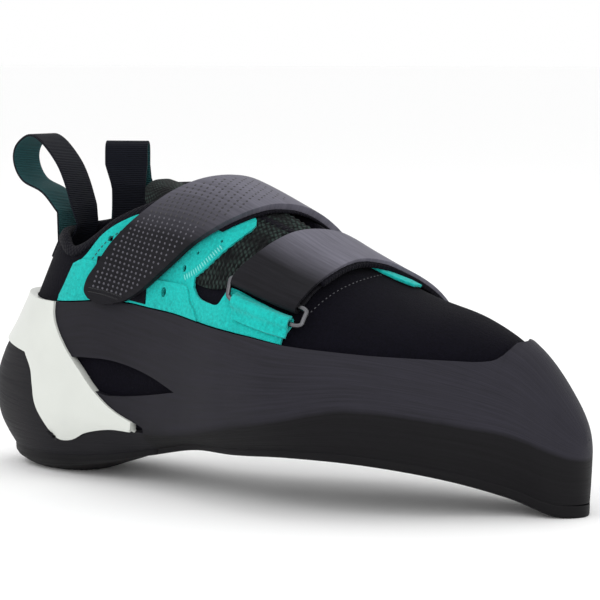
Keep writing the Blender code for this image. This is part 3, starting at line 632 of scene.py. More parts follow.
def add_grid(name, points, uv):
    """A grid primitive laid over rows of points, with a map in millimetres."""
    rows, columns = points.shape[:2]
    bpy.ops.object.select_all(action="DESELECT")
    bpy.ops.mesh.primitive_grid_add(x_subdivisions=columns - 1, y_subdivisions=rows - 1, size=1)
    thing = bpy.context.object
    thing.name = name
    mesh = thing.data
    mesh.vertices.foreach_set("co", (points * MM).astype(np.float32).ravel())
    corner = np.zeros(len(mesh.loops), np.int32)
    mesh.loops.foreach_get("vertex_index", corner)
    mesh.uv_layers.active.data.foreach_set("uv", uv.reshape(-1, 2)[corner].astype(np.float32).ravel())
    mesh.update()
    return thing


def edit(thing, *steps):
    """Runs steps of mesh editing on the whole of a piece."""
    only(thing)
    bpy.ops.object.mode_set(mode="EDIT")
    bpy.ops.mesh.select_all(action="SELECT")
    for step in steps:
        step()
    bpy.ops.object.mode_set(mode="OBJECT")


def faces_out():
    bpy.ops.mesh.normals_make_consistent(inside=False)


def merge(things, name, distance=0.00001):
    """Joins grids into one mesh and closes their shared edges."""
    only(*things)
    if len(things) > 1:
        bpy.ops.object.join()
    thing = bpy.context.object
    thing.name = thing.data.name = name
    edit(
        thing,
        lambda: bpy.ops.mesh.remove_doubles(threshold=distance),
        lambda: bpy.ops.mesh.dissolve_degenerate(threshold=distance),
    )
    return thing


def panel(name, patches, height):
    """A sheet over the last from patches of ring and place. height is a number or a function."""
    grids = []
    for i, lines in enumerate(patches):
        ring, place = lines[..., 0], lines[..., 1]
        over = height(ring, place) if callable(height) else height
        uv = np.stack([around(ring), place * PLACE_MM], -1)
        grids.append(add_grid(f"{name}_{i}", raised(ring, place, over), uv))
    return merge(grids, name)


def apply_modifier(thing, kind, **settings):
    only(thing)
    step = thing.modifiers.new(kind.lower(), kind)
    for key, value in settings.items():
        setattr(step, key, value)
    bpy.ops.object.modifier_apply(modifier=step.name)


def wall(thing, thickness, offset=-1.0, inside=0):
    """Gives a sheet its thickness, inwards from its outer face. inside is the inner face's finish."""
    while len(thing.data.materials) <= inside:
        thing.data.materials.append(None)
    apply_modifier(
        thing,
        "SOLIDIFY",
        thickness=thickness * MM,
        offset=offset,
        use_even_offset=False,
        use_quality_normals=True,
        material_offset=inside,
        material_offset_rim=0,
    )


def soften(thing, width, segments=2, angle=50):
    apply_modifier(
        thing,
        "BEVEL",
        width=width * MM,
        segments=segments,
        limit_method="ANGLE",
        angle_limit=math.radians(angle),
        use_clamp_overlap=True,
    )


def hand_over(thing, slot, materials, *nodes):
    """Shades a finished piece, gives it its finishes and its body, keeping its place, and hides the solids
    that it stands for.
    """
    only(thing)
    bpy.ops.object.shade_smooth()
    for i, material in enumerate(materials):
        if i < len(thing.data.materials):
            thing.data.materials[i] = material
        else:
            thing.data.materials.append(material)
    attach(thing, "root")
    if nodes:
        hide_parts(*nodes)
    return thing


# Finishes

CREASE_PLACES = (32.5, 35.5)  # where the rand's colour changes at its crease from painted shade below to the sanded, lit top, in hundredths of a place
RIB_PITCH, YARN_PITCH = 0.75, 0.5  # the ribbon's weave, in millimetres


class Nodes:
    """A material's nodes, added one after another."""

    def __init__(self, name):
        self.material = bpy.data.materials.new(name)
        self.material.use_nodes = True
        self.tree = self.material.node_tree
        self.surface = self.tree.nodes["Principled BSDF"]
        self.object = self.tree.nodes.new("ShaderNodeTexCoord").outputs["Object"]
        self.map = self.tree.nodes.new("ShaderNodeUVMap").outputs["UV"]

    def link(self, value, socket):
        if hasattr(value, "links"):
            self.tree.links.new(value, socket)
        else:
            socket.default_value = value

    def sum(self, operation, *values):
        node = self.tree.nodes.new("ShaderNodeMath")
        node.operation = operation
        for value, socket in zip(values, node.inputs):
            self.link(value, socket)
        return node.outputs[0]

    def stretch(self, source, scale, rotation=(0, 0, 0)):
        node = self.tree.nodes.new("ShaderNodeMapping")
        node.inputs["Scale"].default_value = scale
        node.inputs["Rotation"].default_value = rotation
        self.link(source, node.inputs["Vector"])
        return node.outputs[0]

    def noise(self, source, scale, detail=3.0, roughness=0.6):
        node = self.tree.nodes.new("ShaderNodeTexNoise")
        self.link(source, node.inputs["Vector"])
        node.inputs["Scale"].default_value = scale
        node.inputs["Detail"].default_value = detail
        node.inputs["Roughness"].default_value = roughness
        return node.outputs["Fac"]

    def cells(self, source, scale, disorder=1.0):
        node = self.tree.nodes.new("ShaderNodeTexVoronoi")
        node.inputs["Randomness"].default_value = disorder
        self.link(source, node.inputs["Vector"])
        node.inputs["Scale"].default_value = scale
        return node.outputs["Distance"]

    def spread(self, value, low, high, to_low=0.0, to_high=1.0):
        node = self.tree.nodes.new("ShaderNodeMapRange")
        self.link(value, node.inputs["Value"])
        for key, number in zip(("From Min", "From Max", "To Min", "To Max"), (low, high, to_low, to_high)):
            node.inputs[key].default_value = number
        return node.outputs["Result"]

    def blend(self, share, first, second):
        node = self.tree.nodes.new("ShaderNodeMix")
        node.data_type = "RGBA"
        self.link(share, node.inputs["Factor"])
        for value, socket in ((first, node.inputs[6]), (second, node.inputs[7])):
            self.link(value if hasattr(value, "links") else (*value, 1.0), socket)
        return node.outputs[2]

    def split(self, source):
        node = self.tree.nodes.new("ShaderNodeSeparateXYZ")
        self.link(source, node.inputs[0])
        return node.outputs

    def bump(self, height, distance, strength=1.0, after=None):
        node = self.tree.nodes.new("ShaderNodeBump")
        node.inputs["Distance"].default_value = distance
        node.inputs["Strength"].default_value = strength
        self.link(height, node.inputs["Height"])
        if after is not None:
            self.link(after, node.inputs["Normal"])
        return node.outputs[0]

    def set(self, **values):
        names = {
            "color": "Base Color",
            "rough": "Roughness",
            "normal": "Normal",
            "sheen": "Sheen Weight",
            "sheen_rough": "Sheen Roughness",
            "coat": "Coat Weight",
            "coat_rough": "Coat Roughness",
            "metal": "Metallic",
            "specular": "Specular IOR Level",
        }
        for key, value in values.items():
            if isinstance(value, tuple) and len(value) == 3:
                value = (*value, 1.0)
            self.link(value, self.surface.inputs[names[key]])
        return self.material


def colour(name, strength=1.0):
    """A colour from the sidebar, lighter or darker."""
    return tuple(min(c * strength, 1.0) for c in getattr(bpy.context.scene.shoe_colours, name))


def once(make):
    """Keeps a finish under its name, so that a second piece gets the same one."""

    def finish(name, *values):
        return bpy.data.materials.get(name) or make(name, *values)

    return finish


@once
def suede(name, tint):
    """Napped suede: fine fibres, and soft clouds where the nap lies the other way."""
    n = Nodes(name)
    bright = tint == "teal"
    nap = n.noise(n.object, 900, 4, 0.75)
    cloud = n.noise(n.object, 60, 3, 0.6)
    fibre = n.noise(n.stretch(n.object, (1, 0.35, 1)), 2400, 2, 0.7)
    pale, deep = colour(tint, 1.3 if bright else 1.5), colour(tint, 0.66 if bright else 0.55)
    shade = n.blend(n.spread(nap, 0.3, 0.7), deep, pale)
    shade = n.blend(n.spread(cloud, 0.35, 0.65, 0.0, 0.35), shade, pale)
    normal = n.bump(fibre, 0.00018, 0.8, n.bump(nap, 0.0003, 0.9))
    sheen = 0.12 if bright else 0.02
    return n.set(color=shade, rough=0.95, normal=normal, sheen=sheen, sheen_rough=0.5, specular=0.08)


@once
def rubber(name, sanded_and_lit):
    """Matt rubber: above its crease sanded and lit paler, with painted shade below; lightly, an even mix of
    both all over; not at all, only the dark tone. Painted shade, with less sanding wear, darkens the top
    towards the heel.
    """
    n = Nodes(name)
    fine = n.noise(n.stretch(n.map, (0.035, 1.6, 1)), 1.0, 5, 0.65)
    long = n.noise(n.stretch(n.map, (0.008, 0.35, 1)), 1.0, 3, 0.6)
    dust = n.noise(n.object, 45, 4, 0.6)
    # low is the dark rubber: the soles' own tone, and the painted shade below the rand's crease
    low = n.blend(n.spread(long, 0.35, 0.7), colour("rubber_under"), colour("rubber_under", 1.6))
    # top is the paler, lit copy of the sanded rubber
    top = n.blend(n.spread(fine, 0.3, 0.7), colour("rubber", 0.62), colour("rubber", 1.5))
    top = n.blend(n.spread(dust, 0.4, 0.75, 0.0, 0.3), top, colour("rubber", 1.5))
    # Darker towards the heel: partly painted shade from the light's side, partly less sanding wear there
    heel_shade_and_wear = n.spread(n.split(n.object)[1], 0.0, 0.2, 0.6, 0.0)
    top = n.blend(heel_shade_and_wear, top, colour("rubber_under"))
    shade = low
    if sanded_and_lit == "above crease":
        ragged = n.sum("MULTIPLY", n.sum("SUBTRACT", dust, 0.5), 3.0)
        place = n.sum("ADD", n.split(n.map)[1], ragged)
        shade = n.blend(n.spread(place, *CREASE_PLACES), low, top)
    elif sanded_and_lit == "lightly":
        shade = n.blend(0.45, low, top)
    rough = n.spread(fine, 0.3, 0.7, 0.5, 0.68)
    normal = n.bump(long, 0.0004, 0.5, n.bump(fine, 0.00012, 0.7))
    return n.set(color=shade, rough=rough, normal=normal, specular=0.16)


@once
def gloss_band(name):
    """Smooth white rubber with a faint coat."""
    n = Nodes(name)
    cloud = n.noise(n.object, 40, 3, 0.5)
    shade = n.blend(n.spread(cloud, 0.35, 0.7), colour("band"), colour("band", 0.93))
    normal = n.bump(n.noise(n.object, 120, 3, 0.6), 0.0003, 0.25)
    return n.set(color=shade, rough=0.3, normal=normal, coat=0.25, coat_rough=0.12, specular=0.5)


@once
def laminate(name, painted_shade_end, lit_from):
    """Brushed strap laminate, with painted shade up to a number of millimetres from the outer end."""
    n = Nodes(name)
    brushed = n.noise(n.stretch(n.map, (0.9, 0.06, 1)), 1.0, 4, 0.6)
    grain = n.noise(n.object, 1500, 2, 0.6)
    streaks = n.spread(brushed, 0.3, 0.7)
    pale = n.blend(streaks, colour("strap", 0.8), colour("strap", 1.25))
    # deep is the painted shade at the strap's outer end, fading out towards lit_from
    deep = n.blend(streaks, colour("strap", 0.06), colour("strap", 0.11))
    shade = n.blend(n.spread(n.split(n.map)[0], painted_shade_end, lit_from), deep, pale)
    normal = n.bump(grain, 0.00006, 0.5, n.bump(brushed, 0.0001, 0.4))
    return n.set(color=shade, rough=n.spread(brushed, 0.3, 0.7, 0.42, 0.55), normal=normal, specular=0.07)


@once
def cloth(name, tint):
    """Rough cloth or pile."""
    n = Nodes(name)
    fibre = n.noise(n.object, 1400, 3, 0.7)
    shade = n.blend(n.spread(fibre, 0.3, 0.7), colour(tint, 0.7), colour(tint, 1.3))
    return n.set(color=shade, rough=0.95, normal=n.bump(fibre, 0.0003, 0.8), sheen=0.03, specular=0.1)


@once
def weave(name, tint, pitch):
    """A knitted mesh of small knots, pitch millimetres apart, each painted lighter in its middle as a
    highlight. On the pale one the highlight shows in random patches.
    """
    n = Nodes(name)
    knots = n.cells(n.stretch(n.map, (0.36 / pitch, 0.30 / pitch, 1), (0, 0, 0.6)), 1.0, 0.12)
    # lit marks the knots' middles, where the colour is painted lighter as a highlight
    lit = n.spread(knots, 0.15, 0.5, 1.0, 0.0)
    if tint == "black":
        shade = n.blend(n.spread(knots, 0.1, 0.6), colour("black", 1.5), colour("black"))
    else:
        # Random patches where the pale knots' painted highlight shows
        highlight_patches = n.spread(n.noise(n.object, 90, 2, 0.5), 0.4, 0.65)
        shade = n.blend(n.sum("MULTIPLY", lit, highlight_patches), colour("mesh"), colour("mesh_dot_highlight"))
    return n.set(color=shade, rough=0.8, normal=n.bump(lit, 0.0003, 0.8), sheen=0.02, specular=0.12)


@once
def ribbon_finish(name, tint):
    """Ribbed woven ribbon, with painted shade in the grooves between its ribs."""
    n = Nodes(name)
    across, along, _ = n.split(n.map)
    rib = n.sum("SINE", n.sum("MULTIPLY", along, 2 * math.pi / RIB_PITCH))
    cross = n.sum("SINE", n.sum("MULTIPLY", across, 2 * math.pi / YARN_PITCH))
    fuzz = n.noise(n.object, 1600, 3, 0.7)
    # The ribs are painted lighter on their crests and darker in their grooves, a painted shade that follows
    # the bump
    shade = n.blend(n.spread(rib, -1, 1), colour(tint, 0.6), colour(tint, 1.35))
    shade = n.blend(n.spread(fuzz, 0.4, 0.8, 0, 0.3), shade, colour(tint, 1.8))
    normal = n.bump(n.sum("MULTIPLY", cross, 0.4), 0.0001, 0.5, n.bump(rib, 0.00022, 0.9))
    return n.set(color=shade, rough=0.72, normal=normal, sheen=0.02, specular=0.15)


@once
def metal(name):
    """Dark plated wire."""
    n = Nodes(name)
    normal = n.bump(n.noise(n.object, 900, 2, 0.5), 0.00003, 0.4)
    return n.set(color=colour("wire"), metal=1.0, rough=0.32, normal=normal)


@once
def thread(name, tint):
    """Twisted thread, and the small dots on the strap: the raised ones paler as a painted highlight, the
    flat ones dark as painted shade in small holes.
    """
    n = Nodes(name)
    twist = n.noise(n.object, 2500, 2, 0.6)
    return n.set(color=colour(tint), rough=0.75, normal=n.bump(twist, 0.0001, 0.6), sheen=0.2)


# Pieces: upper, rubber and soles

def in_mm(grid):
    """A map in millimetres over rows of points, from the mean lengths of its rows and columns."""
    across = np.linalg.norm(np.diff(grid, axis=1), axis=2).mean(axis=0)
    up = np.linalg.norm(np.diff(grid, axis=0), axis=2).mean(axis=1)
    u, v = np.concatenate([[0], np.cumsum(across)]), np.concatenate([[0], np.cumsum(up)])
    return np.stack(np.broadcast_arrays(u[None, :], v[:, None]), -1)


def close_ends(thing):
    edit(thing, lambda: bpy.ops.mesh.fill_holes(sides=0), faces_out)


def ring_of(along, side="lat"):
    """The ring at a share of the length, taken without the heel's lean."""
    ring = float(turn(along)) / math.pi
    return ring if side == "lat" else 2 - ring


def make_upper():
    """The hollow upper: its side and its foot are one sheet, given the wall's thickness inwards."""
    count, rows = 190, 58
    outer_half = np.linspace(0, 1, count)
    ring = np.concatenate([outer_half, 2 - outer_half[::-1][1:]])
    place = np.linspace(0, 1, rows)[:, None] * open_edge(ring)
    ring = np.broadcast_to(ring, place.shape)
    side = add_grid("upper_side", last(ring, place), np.stack([around(ring), place * PLACE_MM], -1))
    outer, inner = last(outer_half, 0), last(2 - outer_half, 0)
    share = np.linspace(-1, 1, 25)[:, None, None]
    under = (inner + outer)[None] / 2 + (outer - inner)[None] / 2 * share
    under[..., 2] -= section(outer_half)["dish"][None] * (1 - share[..., 0] ** 2)
    foot = add_grid("upper_foot", under, in_mm(under))
    thing = merge([side, foot], "upper_suede", 0.00004)
    edit(thing, faces_out)
    wall(thing, UPPER_WALL, inside=1)
    finishes = [suede("black_suede", "black"), cloth("lining_cloth", "lining")]
    return hand_over(thing, "suede_black", finishes, "upper")


# Round the collar's edge: how far down the side each line of the binding lies, and its height there
BINDING = (
    (3.4, 0.1), (3.3, 0.75), (2.6, 0.95), (1.2, 1.0), (0.2, 0.8), (-0.5, 0.2), (-0.75, -0.8),
    (-0.5, -1.9), (0.2, -2.45), (1.6, -2.6), (3.0, -2.5), (3.4, -2.1), (3.5, -1.0), (3.4, 0.1),
)
BINDING_ENDS = 0.62  # share of the length


def make_collar_binding():
    """The folded binding on the collar's edge, closed through the wall."""
    ring = np.linspace(-ring_of(BINDING_ENDS), ring_of(BINDING_ENDS), 260)
    grid = []
    for down, height in BINDING:
        points = raised(ring, lifted(open_edge, -max(down, 0))(ring), height)
        points[:, 2] += max(-down, 0)
        grid.append(points)
    grid = np.array(grid)[::-1]
    thing = merge([add_grid("collar_binding", grid, in_mm(grid))], "collar_binding")
    close_ends(thing)
    return hand_over(thing, "mesh", [weave("binding_cloth", "black", 0.55)])


def band_to_rand(low, count, side="lat", behind=False, fine=200):
    """The band's front edge from a height up to the rand's edge."""
    front = band_front(low, BAND_FRONT[-1].up, fine, side, behind)
    over = np.argmax(front[:, 1] >= rand_edge(front[:, 0]))
    front = resample(front[: over + 1], count)
    front[-1, 1] = rand_edge(front[-1, 0])
    return front


def rand_patches():
    """The rand's patches, from the outer side round the toe to the inner side."""
    fine, low, mid, back_rows, wrap = 56, 14, 26, 97, 230
    start_at, start_up = BAND_FRONT[0]
    seam_at = LENS_TOP[-1].along

    def chine(ring):
        return np.full_like(ring, WIDEST)

    # The seam runs up from the foot edge through the window's front corner
    start, seam, inner = ring_at(start_at, chine), ring_at(seam_at, chine), ring_at(start_at, chine, "med")
    corner = on_side(*LENS_TOP[-1], "lat")
    seam_ring = ring_at(seam_at, rand_edge)
    seam_low = straight((seam, WIDEST), corner, mid)
    seam_high = straight(corner, np.array([seam_ring, rand_edge(seam_ring)]), mid)

    # The outer side, under and over the window
    tip = band_front(start_up, LENS_BOTTOM[0].up, mid)
    front = band_to_rand(LENS_TOP[0].up, mid)
    window_foot, window_top = through(LENS_BOTTOM, fine), through(LENS_TOP, fine)
    window_foot[0], window_foot[-1] = tip[-1], corner
    window_top[0], window_top[-1] = front[0], corner
    outer_chine = straight(tip[0], (seam, WIDEST), fine)
    under_window = patch(outer_chine, window_foot, tip, seam_low)
    over_window = patch(window_top, level(front[-1, 0], seam_ring, fine, rand_edge), front, seam_high)

    # The foot's strip, under the widest line
    half_way = (tip[0, 0], tip[0, 1] / 2)
    left = chain(straight((start, 0), half_way, 8), straight(half_way, tip[0], low))
    seam_foot = straight((seam, 0), (seam, WIDEST), len(left))
    outer_foot = patch(level(start, seam, fine, 0), outer_chine, left, seam_foot)
    back = inner_back(start_up, back_rows)
    right = chain(straight((inner, 0), back[0], 8), straight(back[0], (inner, WIDEST), low))
    wrap_chine = level(seam, inner, wrap, WIDEST)
    wrap_foot = patch(level(seam, inner, wrap, 0), wrap_chine, seam_foot, right)

    # The side over the widest line, round the toe, and its end at the inner band's edge
    end_ring = ring_at(start_at, rand_edge, "med")
    inner_high = straight((inner, WIDEST), (end_ring, rand_edge(end_ring)), 2 * mid - 1)
    wrap_top = level(seam_ring, end_ring, wrap, rand_edge)
    wrap_side = patch(wrap_chine, wrap_top, chain(seam_low, seam_high), inner_high)
    inner_edge = chain(straight(back[0], (inner, WIDEST), low), inner_high)
    bend = back_rows - len(inner_edge)
    end_top = level(end_ring, back[-1, 0], bend + 1, rand_edge)
    end = patch(back[: bend + 1], end_top, inner_edge, back[bend:])
    return [under_window, over_window, outer_foot, wrap_foot, wrap_side, end]


def inner_back(low, count):
    """The inner side's edge along the band, from its foot tip up to the rand's edge."""
    back = band_front(low, BAND_FRONT[-1].up, 240, "med")
    over = np.argmax(back[:, 1] >= rand_edge(back[:, 0]))
    back = back[: over + 1]
    back[-1, 1] = rand_edge(back[-1, 0])
    return resample(back, count)


def make_rand():
    """The rubber wrap round the forefoot and over the toe."""
    thing = panel("rand_rubber", rand_patches(), RUBBER)
    wall(thing, RAND_THICKNESS)
    soften(thing, 0.45)
    return hand_over(thing, "rubber", [rubber("sanded_rubber", "above crease")], "rand")


def back_line(inner, outer, drop=0.0):
    """The band's lower edge round the back of the heel, between its limbs' corners."""
    ring = np.linspace(inner[0], outer[0], 41)
    up = BAND_BACK_UP + (BAND_FOOT[0].up - BAND_BACK_UP) * (ring / outer[0]) ** 2
    return np.stack([ring, place_at_z(ring, up / 100 * size("instep_height") - drop)], -1)


def make_heel_band():
    """The white band: a limb on each side and the part behind the heel that joins them."""
    count, rows = 90, 26
    foot = through(BAND_FOOT[:-1], count)
    front = band_to_rand(BAND_TIP_UP, count)[::-1]
    left = straight(foot[0], front[0], rows)
    outer_limb = patch(foot, front, left, straight(foot[-1], front[-1], rows))
    foot_in = through(BAND_FOOT[:-1], count, "med", behind=True)[::-1]
    front_in = band_to_rand(BAND_TIP_UP, count, "med", behind=True)
    right = straight(foot_in[-1], front_in[-1], rows)
    inner_limb = patch(foot_in, front_in, straight(foot_in[0], front_in[0], rows), right)
    back = back_line(foot_in[-1], foot[0])
    back[0], back[-1] = foot_in[-1], foot[0]
    behind = patch(back, level(front_in[-1, 0], front[0, 0], len(back), rand_edge), right, left)
    thing = panel("heel_white_band", [outer_limb, inner_limb, behind], GAP + BAND_THICKNESS)
    wall(thing, BAND_THICKNESS)
    soften(thing, 0.7, 3)
    return hand_over(thing, "band_white", [gloss_band("white_band")], "heel_band")


def make_heel_cup():
    """The black cup under the band, from the inner limb's tip round the heel to the outer one's."""
    rows, count, spread = 24, 110, 1.15
    low = [Spot(spot.along, spot.up - GAP / size("instep_height") * 100) for spot in BAND_FOOT]
    outer = through(low, count)
    inner = through(low, count, "med", behind=True)[::-1]
    back = back_line(inner[-1], outer[0], GAP)
    top = chain(inner, back, outer)
    knee_in, knee_out = inner[-1, 0] * spread, outer[0, 0] * spread
    foot = chain(
        level(inner[0, 0], knee_in, count, 0.0),
        level(knee_in, knee_out, len(back), 0.0),
        level(knee_out, outer[-1, 0], count, 0.0),
    )
    grid = patch(foot, top, straight(foot[0], top[0], rows), straight(foot[-1], top[-1], rows))
    thing = panel("heel_rubber_cup", [grid], RUBBER)
    wall(thing, RAND_THICKNESS)
    soften(thing, 0.5)
    return hand_over(thing, "rubber", [rubber("cup_rubber", "lightly")], "heel_cup")


def sole_rim(ring):
    """The edge of the sole's upper face, outside the last's foot edge and a little under it."""
    points = raised(ring, 0, RUBBER)
    points[..., 2] = last(ring, 0)[..., 2] - SOLE_SEAT
    return points


def sole_point(ring, share):
    """Points of the sole's upper face, where share runs from -1 inside to 1 outside."""
    inner, outer = sole_rim(2 - ring), sole_rim(ring)
    points = inner + (outer - inner) * ((share + 1) / 2)[..., None]
    points[..., 2] -= section(ring)["dish"] * (1 - share**2)
    return points


def make_sole(name, first, stop, material, columns):
    """One piece of the sole: its upper face, its rounded sides and its underside, flat on the floor."""
    thickness = size("sole_thickness")
    ring = np.linspace(ring_of(first), ring_of(stop), columns)
    sides = [(1.0, 0.125), (1.0, 0.475), (0.995, 0.725), (0.98, 0.9), (SOLE_TAPER, 1.0)]
    profile = [(share, 0.0) for share in np.linspace(-1, 1, 33)]
    profile += [(share, depth * thickness) for share, depth in sides]
    profile += [(share, thickness) for share in np.linspace(0.9, -0.9, 31)]
    profile += [(-share, depth * thickness) for share, depth in sides[::-1]] + [(-1.0, 0.0)]
    middle = sole_point(ring, np.zeros_like(ring))
    grid = []
    for share, depth in profile:
        on_edge = abs(share) > 0.9 and depth > 0
        points = sole_point(ring, np.full_like(ring, np.sign(share) if on_edge else share))
        height = points[:, 2] - depth
        if on_edge:
            points = middle + (points - middle) * abs(share)
        points[:, 2] = np.maximum(height, 0) if depth else height
        grid.append(points)
    grid = np.array(grid)[::-1]
    thing = merge([add_grid(name, grid, in_mm(grid))], name + "_rubber", 0.00003)
    close_ends(thing)
    return hand_over(thing, "sole_rubber", [material], name)


def make_soles():
    """The heel's sole and the outsole, split at the waist."""
    tread = rubber("sole_rubber_finish", "not at all")
    make_sole("heel_sole", 0, SOLE_SPLIT - GAP / LENGTH, tread, 90)
    make_sole("outsole", SOLE_SPLIT, 1, tread, 170)


def make_insole():
    """The board inside, in from the upper's wall and clear of its foot."""
    ring = np.linspace(*INSOLE_ENDS, 110)
    half = np.linalg.norm(sole_rim(ring) - sole_rim(2 - ring), axis=1) / 2
    reach = 1 - INSOLE_INSET / half
    grid = np.array([sole_point(ring, share * reach) for share in np.linspace(-1, 1, 21)])
    grid[..., 2] += GAP + INSOLE_THICKNESS
    grid = grid[::-1]
    thing = merge([add_grid("insole", grid, in_mm(grid))], "insole_board")
    wall(thing, INSOLE_THICKNESS)
    soften(thing, 0.5)
    edit(thing, faces_out)
    return hand_over(thing, "lining", [cloth("insole_cloth", "lining")], "insole")


# Pieces: panels of cloth and suede

def over_ridge(ring, swing):
    """Ring and place of points whose swing is 0 on the widest line, 1 on the ridge and 2 inside."""
    outer = swing <= 1
    place = WIDEST + (1 - WIDEST) * np.where(outer, swing, 2 - swing)
    return np.where(outer, ring, 2 - ring), np.minimum(place, 1)


def strap_grid(rows, across, step=7):
    """Points of a strap's middle, a row for each place across, and its sections' count of columns."""
    keys = np.arange(len(rows))
    at = np.linspace(0, len(rows) - 1, (len(rows) - 1) * step + 1)
    swing = spline(keys, column(rows, "swing"), at)
    rear = spline(keys, column(rows, "rear"), at)
    front = spline(keys, column(rows, "front"), at)
    height = spline(keys, column(rows, "height"), at)
    grid = []
    for share in across:
        ring, place = over_ridge(turn(rear + (front - rear) * share) / np.pi, swing)
        grid.append(raised(ring, place, height))
    return np.array(grid)


def edge_shares(margin, field):
    """Shares across a strap with a border of its own at both edges."""
    rim = [0.0, 0.012, margin - 0.012, margin]
    return np.array(rim + list(np.linspace(margin, 1 - margin, field)[1:-1]) + [1 - s for s in rim[::-1]])


def make_quarter_lateral():
    """The teal overlay of the outer side, with its arm to the ridge and its holes."""
    mid, fine = 40, 90
    low = lifted(rand_edge, OVER_RAND)
    seam_at, toe_at = QUARTER_TOE_TOP[0].along, QUARTER_TOE_FRONT[0].along
    start, seam, toe = (ring_at(along, low) for along in (QUARTER_REAR, seam_at, toe_at))
    high_foot = on_side(*QUARTER_ARM_FOOT[0], "lat")
    low_top = on_side(*QUARTER_TOE_TOP[0], "lat")
    collar = through(QUARTER_COLLAR, fine)
    right = chain(
        straight((seam, low(seam)), low_top, mid),
        straight(low_top, high_foot, 5),
        straight(high_foot, collar[-1], 28),
    )
    main = patch(
        level(start, seam, fine, low),
        collar,
        straight((start, low(start)), collar[0], len(right)),
        right,
    )
    arm_foot, arm_top = through(QUARTER_ARM_FOOT, 44), through(QUARTER_ARM_TOP, 44)
    arm_foot[0], arm_top[0], arm_foot[-1] = high_foot, collar[-1], arm_top[-1]
    tip = np.repeat(arm_top[-1:], 28, axis=0)
    arm = patch(arm_foot, arm_top, straight(high_foot, collar[-1], 28), tip)
    toe_top = through(QUARTER_TOE_TOP, fine)
    toe_top[0] = low_top
    toe_end = through(QUARTER_TOE_FRONT, 22)
    toe_front = chain(straight((toe, low(toe)), toe_end[0], mid - 21), toe_end)
    toe_front[-1] = toe_top[-1]
    lower = patch(level(seam, toe, fine, low), toe_top, right[:mid], toe_front)
    thing = panel("teal_quarter_outer", [main, arm, lower], QUARTER_GAP + QUARTER_THICKNESS)
    wall(thing, QUARTER_THICKNESS)
    punch(thing, HOLES)
    soften(thing, 0.35)
    return hand_over(thing, "suede_teal", [suede("teal_suede", "teal")], "quarter_lateral")


def punch(thing, holes):
    """Cuts round holes through a panel."""
    tools = []
    for hole in holes:
        ring, place = on_side(hole.along, hole.up, "lat")
        centre, away = last(ring, place), normal(ring, place)
        bpy.ops.object.select_all(action="DESELECT")
        bpy.ops.mesh.primitive_cylinder_add(vertices=28, radius=0.5 * MM, depth=8 * MM)
        tool = bpy.context.object
        tool.scale = (hole.wide, hole.tall, 1)
        tool.rotation_euler = Vector(away).to_track_quat("Z", "Y").to_euler()
        tool.location = Vector(centre) * MM
        tools.append(tool)
    only(*tools)
    bpy.ops.object.join()
    tool = bpy.context.object
    apply_modifier(thing, "BOOLEAN", operation="DIFFERENCE", object=tool, solver="EXACT")
    bpy.data.objects.remove(tool)


def make_quarter_lap():
    """The second layer of teal on the outer side, up to the lower strap."""
    low = lifted(rand_edge, OVER_RAND)
    start, stop = (ring_at(along, low) for along in LAP_ENDS)
    top = through(LAP_TOP, 80)
    front_end = through(LAP_FRONT, 24)
    front = chain(straight((stop, low(stop)), front_end[0], 4), front_end)
    front[-1] = top[-1]
    grid = patch(level(start, stop, 80, low), top, straight((start, low(start)), top[0], len(front)), front)
    thing = panel("quarter_lap", [grid], QUARTER_GAP + QUARTER_THICKNESS + LAP_OVER)
    wall(thing, LAP_THICKNESS)
    punch(thing, HOLES[:1])
    soften(thing, 0.35)
    return hand_over(thing, "suede_teal", [suede("teal_lap", "teal")])


def make_quarter_medial():
    """The teal overlay of the inner side."""
    low = lifted(rand_edge, OVER_RAND)
    front, rear = ring_at(QUARTER_INNER_TOE, low, "med"), ring_at(QUARTER_REAR, low, "med")
    edge_front = through(QUARTER_INNER_FRONT, 34, "med")
    left = chain(straight((front, low(front)), edge_front[0], 8), edge_front)
    collar = through(QUARTER_COLLAR[:6], 50, "med")[::-1]
    top = chain(through(QUARTER_INNER_TOP, 140, "med"), collar)
    top[0] = left[-1]
    right = straight((rear, low(rear)), top[-1], len(left))
    main = patch(level(front, rear, len(top), low), top, left, right)
    thing = panel("teal_quarter_inner", [main], QUARTER_GAP + QUARTER_THICKNESS)
    wall(thing, QUARTER_THICKNESS)
    soften(thing, 0.35)
    return hand_over(thing, "suede_teal", [suede("teal_inner", "teal")], "quarter_medial")


def make_crescent():
    """The inner quarter's corner, which laps over the ridge in front of the lower strap."""
    along = np.linspace(CORNER[-1].along, CORNER[0].along, 40)
    reach = np.interp(along, column(CORNER, "along"), column(CORNER, "swing"))
    swing = CORNER_FOOT - (CORNER_FOOT - reach) * np.linspace(0, 1, 16)[:, None]
    ring, place = over_ridge(np.broadcast_to(turn(along) / np.pi, swing.shape), swing)
    grid = raised(ring, place, QUARTER_GAP + QUARTER_THICKNESS + 0.1)
    thing = merge([add_grid("quarter_corner", grid, in_mm(grid))], "quarter_corner")
    wall(thing, QUARTER_THICKNESS)
    soften(thing, 0.35)
    return hand_over(thing, "suede_teal", [suede("teal_corner", "teal")])


